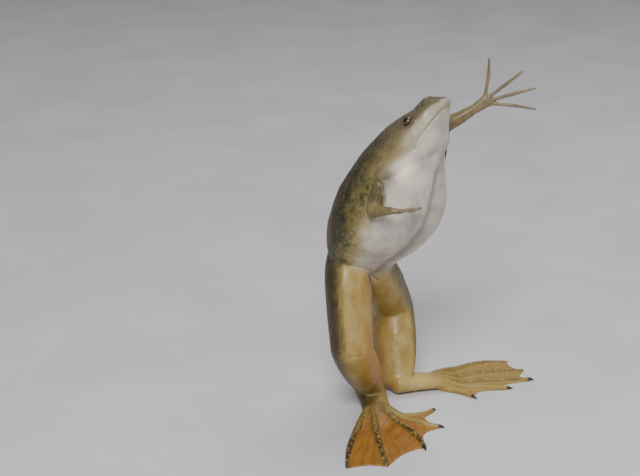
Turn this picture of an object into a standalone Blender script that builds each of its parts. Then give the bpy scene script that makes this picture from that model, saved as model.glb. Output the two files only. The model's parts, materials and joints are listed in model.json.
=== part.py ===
import bpy, bmesh, math
from mathutils import Vector

# African clawed frog, a still life-size figure standing upright on its hind feet.
# All sizes are in millimetres until the meshes are made; +Z is up and the floor is Z = 0.
MM = 0.001
GAP = 0.3                     # clearance left between neighbouring solids
LENGTH = 96.5                 # snout to vent
ORIGIN = Vector((28.300, 17.730, 0.0))    # the middle of the finished figure, on the floor

for o in list(bpy.data.objects):
    bpy.data.objects.remove(o, do_unlink=True)

model = bpy.data.collections.new("clawed_frog")
bpy.context.scene.collection.children.link(model)
cutters = bpy.data.collections.new("cutters")
bpy.context.scene.collection.children.link(cutters)

# Trunk frame: FORE runs from vent to snout, LEFT to the animal's left, BACK out of its back.
NEARER = Vector((-0.2, -3.0, 0.8))    # moves trunk and arms forward over the feet
SNOUT = Vector((27.6, 22.0, 143.8)) + NEARER
FORE = Vector((0.368, -0.083, 0.926)).normalized()
BELLY = Vector((0.585, -0.754, -0.300))
BELLY = (BELLY - BELLY.dot(FORE) * FORE).normalized()
BACK = -BELLY
LEFT = BACK.cross(FORE).normalized()


def at(s, left=0.0, back=0.0):
    "a point at a fraction s of the body length behind the snout"
    return SNOUT - FORE * (s * LENGTH) + LEFT * left + BACK * back


HEAD_TURN = math.radians(20)  # the head is rolled about its long axis, its back toward the right
TURN_FROM, TURN_TO = 0.20, 0.44
TOP_NARROW = 0.35             # how much narrower than its jaws the crown of the head is


def ease(t):
    t = min(max(t, 0.0), 1.0)
    return t * t * (3 - 2 * t)


def turned(s):
    "the directions to the left and out of the back at a place, turned with the head"
    a = HEAD_TURN * (1 - ease((s - TURN_FROM) / (TURN_TO - TURN_FROM)))
    return LEFT * math.cos(a) + BACK * math.sin(a), BACK * math.cos(a) - LEFT * math.sin(a)


def head_at(s, left=0.0, back=0.0):
    "like at(), in the directions of the turned head"
    l, b = turned(s)
    return SNOUT - FORE * (s * LENGTH) + l * left + b * back


# Body sections: place, half width, half depth, shift toward the back, roundness of the sides,
# each but the last as a fraction of the body length.
BODY = [
    (-0.010, 0.030, 0.012, -0.020, 2.0),
    (0.002, 0.050, 0.027, -0.012, 2.1),
    (0.016, 0.068, 0.044, -0.001, 2.1),
    (0.036, 0.085, 0.058, 0.010, 2.2),
    (0.064, 0.104, 0.069, 0.011, 2.3),
    (0.098, 0.120, 0.081, 0.011, 2.3),
    (0.130, 0.133, 0.096, 0.015, 2.3),
    (0.165, 0.148, 0.113, 0.020, 2.3),
    (0.205, 0.162, 0.130, 0.026, 2.2),
    (0.250, 0.175, 0.147, 0.031, 2.2),
    (0.300, 0.185, 0.162, 0.031, 2.2),
    (0.360, 0.203, 0.186, 0.023, 2.2),
    (0.420, 0.220, 0.204, 0.014, 2.2),
    (0.480, 0.235, 0.215, 0.011, 2.2),
    (0.540, 0.248, 0.217, 0.012, 2.2),
    (0.600, 0.255, 0.208, 0.015, 2.2),
    (0.660, 0.253, 0.193, 0.022, 2.2),
    (0.720, 0.242, 0.172, 0.031, 2.2),
    (0.780, 0.222, 0.145, 0.039, 2.1),
    (0.840, 0.191, 0.117, 0.043, 2.1),
    (0.890, 0.154, 0.091, 0.042, 2.0),
    (0.935, 0.112, 0.065, 0.038, 2.0),
    (0.970, 0.074, 0.043, 0.034, 2.0),
    (0.992, 0.040, 0.022, 0.031, 2.0),
]
NECK = 0.262                  # where the head is parted from the trunk
MOUTH_FRONT, MOUTH_BACK = -4.3, -2.0    # height of the mouth line at the snout and at the neck
EYE_AT, EYE_SIDE, EYE_UP, EYE_R = 0.139, 8.6, 5.7, 2.45

# Limb joints, right side first.
SHOULDER = {"right": at(0.405, -16.0, -2.0), "left": at(0.33, 14.0, -1.0)}
ELBOW = {"right": Vector((-1.2, 2.3, 100.8)) + NEARER, "left": Vector((31.1, 43.8, 125.3)) + NEARER}
WRIST = {"right": Vector((6.6, -6.6, 104.0)) + NEARER, "left": Vector((45.0, 44.5, 133.6)) + NEARER}
HIP = {"right": at(0.88, -7.0, 4.0), "left": at(0.875, 7.3, 3.7)}
KNEE = {"right": Vector((-9.4, 7.0, 35.6)), "left": Vector((10.9, 59.0, 34.2))}
HEEL = {"right": Vector((0.3, 27.6, 5.1)), "left": Vector((12.3, 38.0, 5.0))}
FOOT = {"right": Vector((2.4, 14.2, 2.9)), "left": Vector((30.5, 44.0, 2.9))}
# Half widths and depths of each limb, from its root to its end.
ARM_SIZE = {"right": ((3.4, 3.8), (3.1, 3.4), (2.8, 2.9)),
            "left": ((3.9, 4.2), (3.3, 3.6), (2.9, 2.9))}
FOREARM_SIZE = {"right": ((2.8, 2.9), (2.6, 2.5), (2.0, 1.9), (1.6, 1.5)),
                "left": ((2.9, 2.9), (3.2, 3.1), (2.8, 2.5), (2.3, 1.9))}
HAND_SIZE = {"right": ((1.6, 1.5), (2.0, 1.3), (2.0, 1.1)), "left": ((2.3, 1.9), (2.9, 1.7), (2.6, 1.2))}
THIGH_SIZE = {"right": ((8.4, 9.2), (9.9, 10.8), (10.2, 11.2), (9.9, 9.8), (9.2, 7.8)),
              "left": ((8.4, 9.2), (9.9, 10.8), (10.6, 11.2), (10.6, 10.0), (9.8, 8.0))}
SHANK_SIZE = {"right": ((9.2, 7.5), (9.5, 8.3), (8.9, 7.3), (7.5, 5.4), (6.7, 4.9)),
              "left": ((9.8, 7.6), (10.4, 8.5), (10.4, 7.8), (9.4, 6.0), (7.2, 5.0))}
TARSUS_SIZE = ((6.9, 5.1), (6.5, 4.1), (6.4, 3.4), (6.8, 3.0))
# Each toe on the floor, first to fifth: a point halfway along it, then its tip.
TOES = {
    "right": [((17.3, 11.8), (29.3, 19.2)), ((19.4, 6.0), (31.8, 1.6)), ((16.0, -2.6), (22.0, -19.4)),
              ((2.4, -13.0), (4.9, -33.3)), ((-9.8, -14.4), (-11.8, -34.8))],
    "left": [((40.0, 37.0), (48.8, 29.9)), ((49.6, 40.6), (66.5, 40.4)), ((55.0, 47.2), (77.6, 49.9)),
             ((54.0, 56.2), (74.2, 59.8)), ((50.0, 65.2), (67.7, 69.0))],
}
# how far out the web reaches midway between neighbouring tips, first gap to fourth
HOLLOW = (0.80, 0.84, 0.93, 0.96)
WEB = 0.85                    # thickness of the web
ROWS = (0.0, 0.10, 0.21, 0.34, 0.48, 0.62, 0.76, 0.89, 1.0)
ANKLE_Z, ANKLE_WIDE, ANKLE_DEEP = 2.9, 6.8, 3.0


def link(name, bm, colour, rough):
    bmesh.ops.recalc_face_normals(bm, faces=bm.faces)
    mesh = bpy.data.meshes.new(name)
    bm.to_mesh(mesh)
    bm.free()
    obj = bpy.data.objects.new(name, mesh)
    model.objects.link(obj)
    if colour:
        mat = bpy.data.materials.new(name)
        mat.use_nodes = True
        bsdf = mat.node_tree.nodes["Principled BSDF"]
        bsdf.inputs["Base Color"].default_value = (*colour, 1.0)
        bsdf.inputs["Roughness"].default_value = rough
        mesh.materials.append(mat)
    return obj


def skin_rings(rings, tips=(None, None)):
    "closes a run of rings into one solid; a tip is a point, or none for a flat end"
    bm = bmesh.new()
    rows = [[bm.verts.new((p - ORIGIN) * MM) for p in ring] for ring in rings]
    n = len(rows[0])
    for a, b in zip(rows, rows[1:]):
        for i in range(n):
            bm.faces.new((a[i], a[(i + 1) % n], b[(i + 1) % n], b[i]))
    for row, tip in ((rows[0], tips[0]), (rows[-1], tips[1])):
        if tip is None:
            bm.faces.new(row)
        else:
            v = bm.verts.new((tip - ORIGIN) * MM)
            for i in range(n):
                bm.faces.new((row[i], row[(i + 1) % n], v))
    bmesh.ops.recalc_face_normals(bm, faces=bm.faces)
    return bm


def oval(centre, u, v, ru, rv, n, power=2.0, narrow=0.0):
    "a ring, which may be narrower on the side that v points to"
    out = []
    for i in range(n):
        t = 2 * math.pi * i / n
        c, s = math.cos(t), math.sin(t)
        sv = math.copysign(abs(s) ** (2 / power), s)
        cu = math.copysign(abs(c) ** (2 / power), c) * (1 - narrow * max(sv, 0.0))
        out.append(centre + u * (ru * cu) + v * (rv * sv))
    return out


def trunk_rings(grow=0.0, n=32, rows=BODY):
    out = []
    for s, w, d, up, power in rows:
        l, b = turned(s)
        narrow = TOP_NARROW * ease(s / 0.08) * (1 - ease((s - 0.19) / 0.20))
        wide, deep = w * LENGTH + grow, d * LENGTH + grow
        out.append(oval(head_at(s, 0, up * LENGTH), l, b, wide, deep, n, power, narrow))
    return out


def curve(points, steps):
    "a smooth line of (point, wide, deep) through the given ones"
    rows = [(p, a, b) for p, a, b in points]
    rows = [rows[0]] + rows + [rows[-1]]
    out = []
    for i in range(1, len(rows) - 2):
        for k in range(steps):
            t = k / steps
            w = [(-t + 2 * t * t - t ** 3) / 2, (2 - 5 * t * t + 3 * t ** 3) / 2,
                 (t + 4 * t * t - 3 * t ** 3) / 2, (-t * t + t ** 3) / 2]
            four = rows[i - 1:i + 3]
            p = sum((q[0] * x for q, x in zip(four, w)), Vector((0, 0, 0)))
            out.append((p, sum(q[1] * x for q, x in zip(four, w)),
                        sum(q[2] * x for q, x in zip(four, w))))
    out.append(rows[-2])
    return out


def limb(points, across, n=14, steps=2, blunt=0.62, power=2.0):
    "a round-ended tube through (point, wide, deep); wide is measured along across"
    rows = curve(points, steps)
    rings, tips = [], []
    m = len(rows)
    for i, (p, wide, deep) in enumerate(rows):
        t = (rows[min(i + 1, m - 1)][0] - rows[max(i - 1, 0)][0]).normalized()
        u = (across - across.dot(t) * t).normalized()
        v = t.cross(u)
        if i == 0:
            tips.append(p - t * (blunt * deep))
            rings.append(oval(p - t * (blunt * deep * 0.7), u, v, wide * 0.62, deep * 0.62, n, power))
        rings.append(oval(p, u, v, wide, deep, n, power))
        if i == m - 1:
            rings.append(oval(p + t * (blunt * deep * 0.7), u, v, wide * 0.62, deep * 0.62, n, power))
            tips.append(p + t * (blunt * deep))
    return skin_rings(rings, tips)


def slice_off(bm, point, normal):
    "keeps the side of a plane that the normal points away from, and closes the cut flat"
    geom = bm.verts[:] + bm.edges[:] + bm.faces[:]
    cut = bmesh.ops.bisect_plane(bm, geom=geom, plane_co=(point - ORIGIN) * MM, plane_no=normal,
                                 clear_outer=True, dist=1e-8)
    edges = [e for e in cut["geom_cut"] if isinstance(e, bmesh.types.BMEdge) and e.is_valid]
    edges = [e for e in edges if len(e.link_faces) == 1]
    if edges:
        bmesh.ops.holes_fill(bm, edges=edges, sides=0)
    return bm


def boolean(obj, other, kind):
    mod = obj.modifiers.new(kind, "BOOLEAN")
    mod.operation = kind
    mod.solver = "EXACT"
    mod.object = other
    deps = bpy.context.evaluated_depsgraph_get()
    mesh = bpy.data.meshes.new_from_object(obj.evaluated_get(deps))
    obj.modifiers.clear()
    obj.data = mesh


def drop(*objs):
    for o in objs:
        bpy.data.objects.remove(o, do_unlink=True)


def ball(centre, radius, rings=10, n=16):
    rows = []
    for k in range(1, rings):
        a = math.pi * k / rings
        rows.append(oval(centre + BACK * (radius * math.cos(a)), LEFT, FORE,
                         radius * math.sin(a), radius * math.sin(a), n))
    return skin_rings(rows, (centre + BACK * radius, centre - BACK * radius))


# Trunk and head are one loft, parted behind the corners of the mouth.
rings = trunk_rings()
tips = (head_at(-0.013, 0, -2.0), at(1.0, 0, 0.030 * LENGTH))
trunk = skin_rings(rings, tips)
slice_off(trunk, at(NECK) - FORE * (GAP / 2), FORE)
trunk = link("trunk", trunk, (0.30, 0.26, 0.10), 0.45)
whole = skin_rings(rings, tips)
slice_off(whole, at(NECK) + FORE * (GAP / 2), -FORE)
head = link("head", whole, (0.20, 0.17, 0.07), 0.45)

# A low dome under each eye, then the socket.
for side in (-1, 1):
    centre = head_at(EYE_AT, side * EYE_SIDE, EYE_UP)
    inward = head_at(EYE_AT, 0, 2.0) - centre
    dome = link("dome", ball(centre + inward.normalized() * 0.9, EYE_R + 1.15, 8, 16), None, 0)
    boolean(head, dome, "UNION")
    drop(dome)
for side in (-1, 1):
    centre = head_at(EYE_AT, side * EYE_SIDE, EYE_UP)
    socket = link("socket", ball(centre, EYE_R + GAP, 10, 16), None, 0)
    boolean(head, socket, "DIFFERENCE")
    nostril = limb([(head_at(0.014, side * 2.5, 8.0), 0.5, 0.5),
                    (head_at(0.026, side * 2.4, 4.2), 0.45, 0.45)], LEFT, 8, 1)
    nostril = link("nostril", nostril, None, 0)
    boolean(head, nostril, "DIFFERENCE")
    drop(socket, nostril)
    name = "eye_right" if side < 0 else "eye_left"
    link(name, ball(centre, EYE_R, 10, 18), (0.02, 0.02, 0.015), 0.08)

# The mouth line parts the lower jaw from the head.
jaw_in = head_at(0.0, 0, MOUTH_FRONT)
jaw_out = head_at(NECK, 0, MOUTH_BACK)
jaw_axis = (jaw_out - jaw_in).normalized()
jaw_up = turned(0)[0].cross(jaw_axis).normalized()
if jaw_up.dot(BACK) < 0:
    jaw_up = -jaw_up
jaw = bmesh.new()
jaw.from_mesh(head.data)
slice_off(jaw, jaw_in - jaw_up * (GAP / 2), jaw_up)
link("lower_jaw", jaw, (0.74, 0.66, 0.56), 0.45)
top = bmesh.new()
top.from_mesh(head.data)
slice_off(top, jaw_in + jaw_up * (GAP / 2), -jaw_up)
top.to_mesh(head.data)
top.free()

SKIN_LEG = (0.55, 0.36, 0.12)
SKIN_ARM = (0.52, 0.38, 0.22)
near_tips = (head_at(-0.016, 0, -2.0), at(1.004, 0, 0.030 * LENGTH))
near_trunk = link("near_trunk", skin_rings(trunk_rings(GAP), near_tips), None, 0)
FLOOR = Vector((0, 0, 0))
DOWN = Vector((0, 0, -1))


def blend(a, b, t):
    return a + (b - a) * ease(t)


def arch(a):
    "height of the ankle's cross-section at a distance a from its middle"
    return ANKLE_Z + ANKLE_DEEP * math.sqrt(max(0.0, 1 - (a / ANKLE_WIDE) ** 2))


def make_foot(side, foot, end):
    "a flat-soled foot whose columns run from the ankle along each toe and each stretch of web"
    ahead = Vector((end.x, end.y, 0)).normalized()
    across = Vector((-ahead.y, ahead.x, 0))
    tips = [Vector((*q[1], 0)) for q in TOES[side]]
    if across.dot(tips[0] - tips[4]) < 0:
        across = -across
    base = Vector((foot.x, foot.y, 0)) + ahead * (GAP / 2)
    centre = base + ahead * 3
    toes, claws = [], []
    for k, (mid, tip) in enumerate(TOES[side]):
        lateral = 4.9 - 2.45 * k
        root = base + across * lateral
        mid, tip = Vector((*mid, 0)), Vector((*tip, 0))
        bend = mid * 2 - (root + tip) / 2
        way = (tip - bend).normalized()
        stop = tip - way * 2.9 if k < 3 else tip - way * 0.3
        columns = [[] for _ in range(5)]
        for t in ROWS:
            p = root * (1 - t) ** 2 + bend * (2 * t * (1 - t)) + stop * t ** 2
            run = ((bend - root) * (1 - t) + (stop - bend) * t).normalized()
            n = Vector((-run.y, run.x, 0))
            if n.dot(across) < 0 and k != 0 or k == 0 and n.dot(ahead) > 0:
                n = -n
            if t == 0:
                n = across
            end_w = 0.95 if k < 3 else 0.62
            w = blend(0.75, 1.75, t / 0.3) if t < 0.3 else blend(1.75, end_w, (t - 0.3) / 0.7)
            tall = 3.3 - (1.4 if k < 3 else 1.9) * t
            for c, f in enumerate((1.0, 0.62, 0.0, -0.62, -1.0)):
                a = lateral + f * w
                low = blend(arch(a), WEB, t / 0.30)
                top = blend(arch(lateral), tall, t / 0.34)
                z = low + (top - low) * (0.0, 0.78, 1.0, 0.78, 0.0)[c] if t > 0 else arch(a)
                q = p + n * (f * w)
                columns[c].append(Vector((q.x, q.y, z)))
        toes.append(columns)
        if k < 3:
            hub = Vector((stop.x, stop.y, 0.95))
            claw = limb([(hub + way * GAP, 0.9, 0.9), (hub + way * 1.5, 0.68, 0.7),
                         (Vector((tip.x, tip.y, 0.42)), 0.22, 0.22)], n, 8, 1, 0.5)
            slice_off(claw, hub + way * GAP, -way)
            slice_off(claw, FLOOR, DOWN)
            claws.append((k, claw))
    columns = []
    for k in range(5):
        columns += toes[k]
        if k < 4:
            left, right = toes[k][4], toes[k + 1][0]
            for f in (0.25, 0.5, 0.75):
                col = []
                for t, a, b in zip(ROWS, left, right):
                    q = a.lerp(b, f)
                    hump = 1 - (abs(f - 0.5) / 0.5) ** 1.8
                    q = centre + (q - centre) * (1 - (1 - HOLLOW[k]) * hump * t)
                    lateral = 4.9 - 2.45 * (k + 0.5)
                    z = arch(lateral) if t == 0 else blend(arch(lateral), WEB, t / 0.27)
                    if t == 0:
                        q = a.lerp(b, f)
                    col.append(Vector((q.x, q.y, z)))
                columns.append(col)
    bm = bmesh.new()
    top = [[bm.verts.new((p - ORIGIN) * MM) for p in col] for col in columns]
    foot_of = {}

    def below(c, r):
        if (c, r) not in foot_of:
            p = columns[c][r]
            foot_of[(c, r)] = bm.verts.new((Vector((p.x, p.y, 0)) - ORIGIN) * MM)
        return foot_of[(c, r)]

    last_c, last_r = len(columns) - 1, len(ROWS) - 1
    for c in range(last_c):
        for r in range(last_r):
            bm.faces.new((top[c][r], top[c + 1][r], top[c + 1][r + 1], top[c][r + 1]))
    for c in (0, last_c):
        for r in range(last_r):
            bm.faces.new((top[c][r], top[c][r + 1], below(c, r + 1), below(c, r)))
    bm.faces.new([top[c][0] for c in range(last_c + 1)] + [below(last_c, 0), below(0, 0)])
    tips_loop = []
    for k in range(5):
        c0 = k * 8
        bm.faces.new([top[c][last_r] for c in range(c0, c0 + 5)] + [below(c0 + 4, last_r), below(c0, last_r)])
        tips_loop += [below(c0, last_r), below(c0 + 4, last_r)]
        if k < 4:
            for c in range(c0 + 4, c0 + 8):
                bm.faces.new((top[c][last_r], top[c + 1][last_r], below(c + 1, last_r), below(c, last_r)))
            tips_loop += [below(c, last_r) for c in range(c0 + 5, c0 + 8)]
    sole = [below(0, r) for r in range(last_r)] + tips_loop
    sole += [below(last_c, r) for r in range(last_r - 1, -1, -1)]
    bm.faces.new(sole)
    bmesh.ops.recalc_face_normals(bm, faces=bm.faces)
    return link("foot_" + side, bm, (0.60, 0.30, 0.08), 0.4), claws


def joint_plane(a, b, c):
    return ((b - a).normalized() + (c - b).normalized()).normalized()


for side, sign in (("right", -1), ("left", 1)):
    hip, knee, heel, foot = HIP[side], KNEE[side], HEEL[side], FOOT[side]
    # the hinge line of knee and heel
    hinge = (knee - hip).cross(heel - knee).normalized()
    knee_cut = joint_plane(hip, knee, heel)
    heel_cut = joint_plane(knee, heel, foot)
    t1, t2 = (knee - hip), (heel - knee)
    thigh = limb([(hip + t1 * t, *size) for t, size in zip((-0.12, 0.05, 0.30, 0.64, 1.02),
                                                           THIGH_SIZE[side])], hinge, 16, 2)
    slice_off(thigh, knee - knee_cut * (GAP / 2), knee_cut)
    slice_off(thigh, at(1.0, sign * GAP / 2), LEFT * -sign)
    thigh = link("thigh_" + side, thigh, SKIN_LEG, 0.45)
    boolean(thigh, near_trunk, "DIFFERENCE")
    shank = limb([(knee + t2 * t, *size) for t, size in zip((-0.02, 0.24, 0.50, 0.78, 1.0),
                                                            SHANK_SIZE[side])], hinge, 16, 2)
    slice_off(shank, knee + knee_cut * (GAP / 2), -knee_cut)
    slice_off(shank, heel - heel_cut * (GAP / 2), heel_cut)
    slice_off(shank, FLOOR, DOWN)
    link("shank_" + side, shank, SKIN_LEG, 0.45)
    t3 = foot - heel
    flat = Vector((0, 0, 1)).cross(t3).normalized()
    end = Vector((t3.x, t3.y, 0)).normalized()
    tarsus = limb([(heel + t3 * t, *size) for t, size in zip((-0.02, 0.35, 0.70, 1.08), TARSUS_SIZE)],
                  flat, 14, 2)
    slice_off(tarsus, heel + heel_cut * (GAP / 2), -heel_cut)
    slice_off(tarsus, foot - end * (GAP / 2), end)
    slice_off(tarsus, FLOOR, DOWN)
    link("tarsus_" + side, tarsus, (0.50, 0.28, 0.09), 0.45)

    foot_obj, claws = make_foot(side, foot, end)
    for k, claw in claws:
        link("claw_%s_%s" % (side, ("first", "second", "third")[k]), claw, (0.015, 0.012, 0.01), 0.25)

# Arms and hands.
FINGERS = {
    "right": [(16.4, 4.4, 101.2), (19.2, 4.6, 101.4), (19.0, 2.6, 101.7), (16.2, 0.5, 102.2)],
    "left": [(49.6, 44.0, 155.8), (64.3, 43.0, 150.3), (70.2, 42.0, 143.1), (70.2, 42.0, 133.7)],
}
PALM = {"right": Vector((8.8, -6.6, 103.8)) + NEARER, "left": Vector((49.0, 44.6, 136.6)) + NEARER}
for side, sign in (("right", -1), ("left", 1)):
    sh, el, wr, palm = SHOULDER[side], ELBOW[side], WRIST[side], PALM[side]
    hinge = (el - sh).cross(wr - el).normalized()
    el_cut = joint_plane(sh, el, wr)
    wr_cut = joint_plane(el, wr, palm)
    t1, t2 = el - sh, wr - el
    arm = limb([(sh + t1 * t, *size) for t, size in zip((0, 0.5, 1), ARM_SIZE[side])], hinge, 12, 2)
    slice_off(arm, el - el_cut * (GAP / 2), el_cut)
    arm = link("upper_arm_" + side, arm, SKIN_ARM, 0.45)
    boolean(arm, near_trunk, "DIFFERENCE")
    fore = limb([(el + t2 * t, *size) for t, size in zip((0, 0.35, 0.75, 1), FOREARM_SIZE[side])],
                hinge, 12, 2)
    slice_off(fore, el + el_cut * (GAP / 2), -el_cut)
    slice_off(fore, wr - wr_cut * (GAP / 2), wr_cut)
    fore = link("forearm_" + side, fore, SKIN_ARM, 0.45)
    tips = [Vector(p) + NEARER for p in FINGERS[side]]
    spread = (tips[0] - tips[3]).normalized()
    ahead = (palm - wr).normalized()
    spread = (spread - spread.dot(ahead) * ahead).normalized()
    hand = limb([(p, *size) for p, size in zip((wr - ahead * 0.6, palm, palm + ahead * 1.6),
                                               HAND_SIZE[side])], spread, 12, 2)
    slice_off(hand, wr + wr_cut * (GAP / 2), -wr_cut)
    hand = link("hand_" + side, hand, (0.62, 0.46, 0.32), 0.45)
    for k, tip in enumerate(tips):
        root = palm + ahead * 0.9 + spread * (1.95 - 1.3 * k)
        mid = root.lerp(tip, 0.5)
        mid += (mid - (root + tip) / 2) + ahead * 0.6
        finger = limb([(root, 1.1, 0.95), (mid, 0.78, 0.75), (tip, 0.38, 0.38)], spread, 8, 2, 0.8)
        finger = link("finger", finger, None, 0)
        boolean(hand, finger, "UNION")
        drop(finger)
drop(near_trunk)

for o in model.objects:
    me = o.data
    bm = bmesh.new()
    bm.from_mesh(me)
    bmesh.ops.remove_doubles(bm, verts=bm.verts, dist=2e-7)
    bmesh.ops.dissolve_degenerate(bm, edges=bm.edges, dist=2e-7)
    bmesh.ops.triangulate(bm, faces=bm.faces)
    bmesh.ops.recalc_face_normals(bm, faces=bm.faces)
    bm.to_mesh(me)
    bm.free()
    for mat in list(me.materials):
        if mat is None:
            me.materials.pop(index=0)
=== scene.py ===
# %% [markdown]
# # An african clawed frog, standing
#
# This lesson makes the finish of a still, life-size frog: an olive adult that stands upright on
# its webbed hind feet, one arm raised and one folded to its chest. The solids of its body come
# ready made, each limb apart, and they fix where everything is. Here they get one unbroken skin,
# wet eyes, black claws, the row of stitch-like sense organs of the species, and a pale studio.

# %% Load the fixed frame
import json
import math
import bpy
import bmesh
import numpy as np
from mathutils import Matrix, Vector

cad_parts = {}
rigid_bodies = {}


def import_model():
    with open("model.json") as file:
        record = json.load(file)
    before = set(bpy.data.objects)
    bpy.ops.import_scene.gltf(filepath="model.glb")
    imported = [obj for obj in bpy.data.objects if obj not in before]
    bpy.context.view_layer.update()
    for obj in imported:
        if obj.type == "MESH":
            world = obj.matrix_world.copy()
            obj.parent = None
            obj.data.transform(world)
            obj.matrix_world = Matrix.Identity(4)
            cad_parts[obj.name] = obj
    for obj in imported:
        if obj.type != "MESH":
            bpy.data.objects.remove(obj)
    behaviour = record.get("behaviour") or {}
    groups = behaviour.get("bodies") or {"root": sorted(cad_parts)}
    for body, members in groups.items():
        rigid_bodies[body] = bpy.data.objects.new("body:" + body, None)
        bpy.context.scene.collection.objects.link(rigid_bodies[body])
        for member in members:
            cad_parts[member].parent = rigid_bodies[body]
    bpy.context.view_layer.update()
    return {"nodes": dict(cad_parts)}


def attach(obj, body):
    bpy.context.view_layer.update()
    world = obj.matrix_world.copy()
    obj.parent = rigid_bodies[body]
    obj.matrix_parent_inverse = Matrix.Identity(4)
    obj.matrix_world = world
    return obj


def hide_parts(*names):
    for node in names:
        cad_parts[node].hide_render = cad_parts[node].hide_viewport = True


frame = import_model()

# %% [markdown]
# ## The directions of the body
#
# A frog that stands upright leans, so its own directions differ from those of the room. Every
# place on it is easier to say as "a third of the way down, a little left, near the back". The
# helpers below turn such words into points. They count in millimetres, which is a comfortable
# unit for an animal of this size, and the meshes are changed to metres at the very end. The head
# is rolled a little about its long axis, so the left and back directions turn along the neck.

# %% Body directions
MM = 0.001
LENGTH = 96.5                 # from snout to vent, in millimetres
ORIGIN = np.array((28.300, 17.730, 0.0))    # what becomes the middle of the model, on the floor
SNOUT = np.array((27.4, 19.0, 144.6))       # the tip of the nose
FORE = np.array((0.368, -0.083, 0.926))     # from the vent to the snout
FORE /= np.linalg.norm(FORE)
BELLY = np.array((0.585, -0.754, -0.300))   # the way the belly faces
BELLY -= BELLY.dot(FORE) * FORE
BACK = -BELLY / np.linalg.norm(BELLY)
LEFT = np.cross(BACK, FORE)
HEAD_TURN = math.radians(20)
TURN_FROM, TURN_TO = 0.20, 0.44              # the places between which the roll fades
UP = np.array((0.0, 0.0, 1.0))


def unit(v):
    return v / np.linalg.norm(v)


def ease(t):
    t = np.clip(t, 0.0, 1.0)
    return t * t * (3 - 2 * t)


def hill(x, width):
    "one at nought, falling off smoothly on both sides"
    return np.exp(-(x / width) ** 2)


def roll_at(s):
    "angle by which the head's roll turns the left and back directions at a place along the body"
    return HEAD_TURN * (1 - ease((s - TURN_FROM) / (TURN_TO - TURN_FROM)))


def turned(s):
    "the left and back directions at a place along the body"
    a = roll_at(s)
    return LEFT * math.cos(a) + BACK * math.sin(a), BACK * math.cos(a) - LEFT * math.sin(a)


def at(s, left=0.0, back=0.0):
    "a point by its share of the length from the snout, and its millimetres to the left and the back"
    return SNOUT - FORE * (s * LENGTH) + LEFT * left + BACK * back


def head_at(s, left=0.0, back=0.0):
    "the same, with the roll of the head"
    left_way, back_way = turned(s)
    return SNOUT - FORE * (s * LENGTH) + left_way * left + back_way * back


print("left", LEFT.round(3), "back", BACK.round(3))

# %% [markdown]
# ## Trunk and head as one loft
#
# A frog's trunk has no neck: head, shoulders and belly are one flowing sack. A loft suits that.
# Each row of the table says how wide and how deep the body is at one place along it, how far that
# section sits toward the back, and how square it is. A smooth line is drawn through the rows, so a
# few of them are enough, and rings of points are set on it. The crown of the head is narrower
# than its jaws.

# %% Sections of the body
# place along the body, half width, half depth and shift toward the back as shares of the length,
# and the squareness, where 2 is round
BODY = [
    (-0.010, 0.030, 0.012, -0.020, 2.0), (0.002, 0.050, 0.027, -0.012, 2.1),
    (0.016, 0.068, 0.044, -0.001, 2.1), (0.036, 0.085, 0.058, 0.010, 2.2),
    (0.064, 0.104, 0.069, 0.011, 2.3), (0.098, 0.120, 0.081, 0.011, 2.3),
    (0.130, 0.133, 0.096, 0.015, 2.3), (0.165, 0.148, 0.113, 0.020, 2.3),
    (0.205, 0.162, 0.130, 0.026, 2.2), (0.250, 0.175, 0.147, 0.031, 2.2),
    (0.300, 0.185, 0.162, 0.031, 2.2), (0.360, 0.203, 0.186, 0.023, 2.2),
    (0.420, 0.220, 0.204, 0.014, 2.2), (0.480, 0.235, 0.215, 0.011, 2.2),
    (0.540, 0.248, 0.217, 0.012, 2.2), (0.600, 0.255, 0.208, 0.015, 2.2),
    (0.660, 0.253, 0.193, 0.022, 2.2), (0.720, 0.242, 0.172, 0.031, 2.2),
    (0.780, 0.222, 0.145, 0.039, 2.1), (0.840, 0.191, 0.117, 0.043, 2.1),
    (0.890, 0.154, 0.091, 0.042, 2.0), (0.935, 0.112, 0.065, 0.038, 2.0),
    (0.970, 0.074, 0.043, 0.034, 2.0), (0.992, 0.040, 0.022, 0.031, 2.0),
]
TOP_NARROW = 0.35             # how much narrower the crown is than the jaws
CROWN_FULL, CROWN_END, CROWN_FADE = 0.08, 0.19, 0.20
SKIN_IN = 0.12                # the skin lies this far inside the solids
print("sections of the body:", len(BODY))


# %% Rings and lofts
def smooth_rows(rows, steps):
    "rows of numbers, with steps rows from each given one to the next, on a smooth curve"
    r = np.array(rows, float)
    r = np.vstack([r[0], r, r[-1]])
    out = []
    for i in range(1, len(r) - 2):
        for k in range(steps):
            t = k / steps
            w = np.array([(-t + 2 * t * t - t ** 3) / 2, (2 - 5 * t * t + 3 * t ** 3) / 2,
                          (t + 4 * t * t - 3 * t ** 3) / 2, (-t * t + t ** 3) / 2])
            out.append(w @ r[i - 1:i + 3])
    out.append(r[-2])
    return np.array(out)


def ring(centre, u, v, wide, deep, n, power=2.0, narrow=0.0):
    t = np.linspace(0, 2 * math.pi, n, endpoint=False)
    c, s = np.cos(t), np.sin(t)
    sv = np.sign(s) * np.abs(s) ** (2 / power)
    cu = np.sign(c) * np.abs(c) ** (2 / power) * (1 - narrow * np.maximum(sv, 0))
    return centre + np.outer(wide * cu, u) + np.outer(deep * sv, v)


clay = []                     # the shapes that the skin is drawn over: (points, faces)


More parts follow.
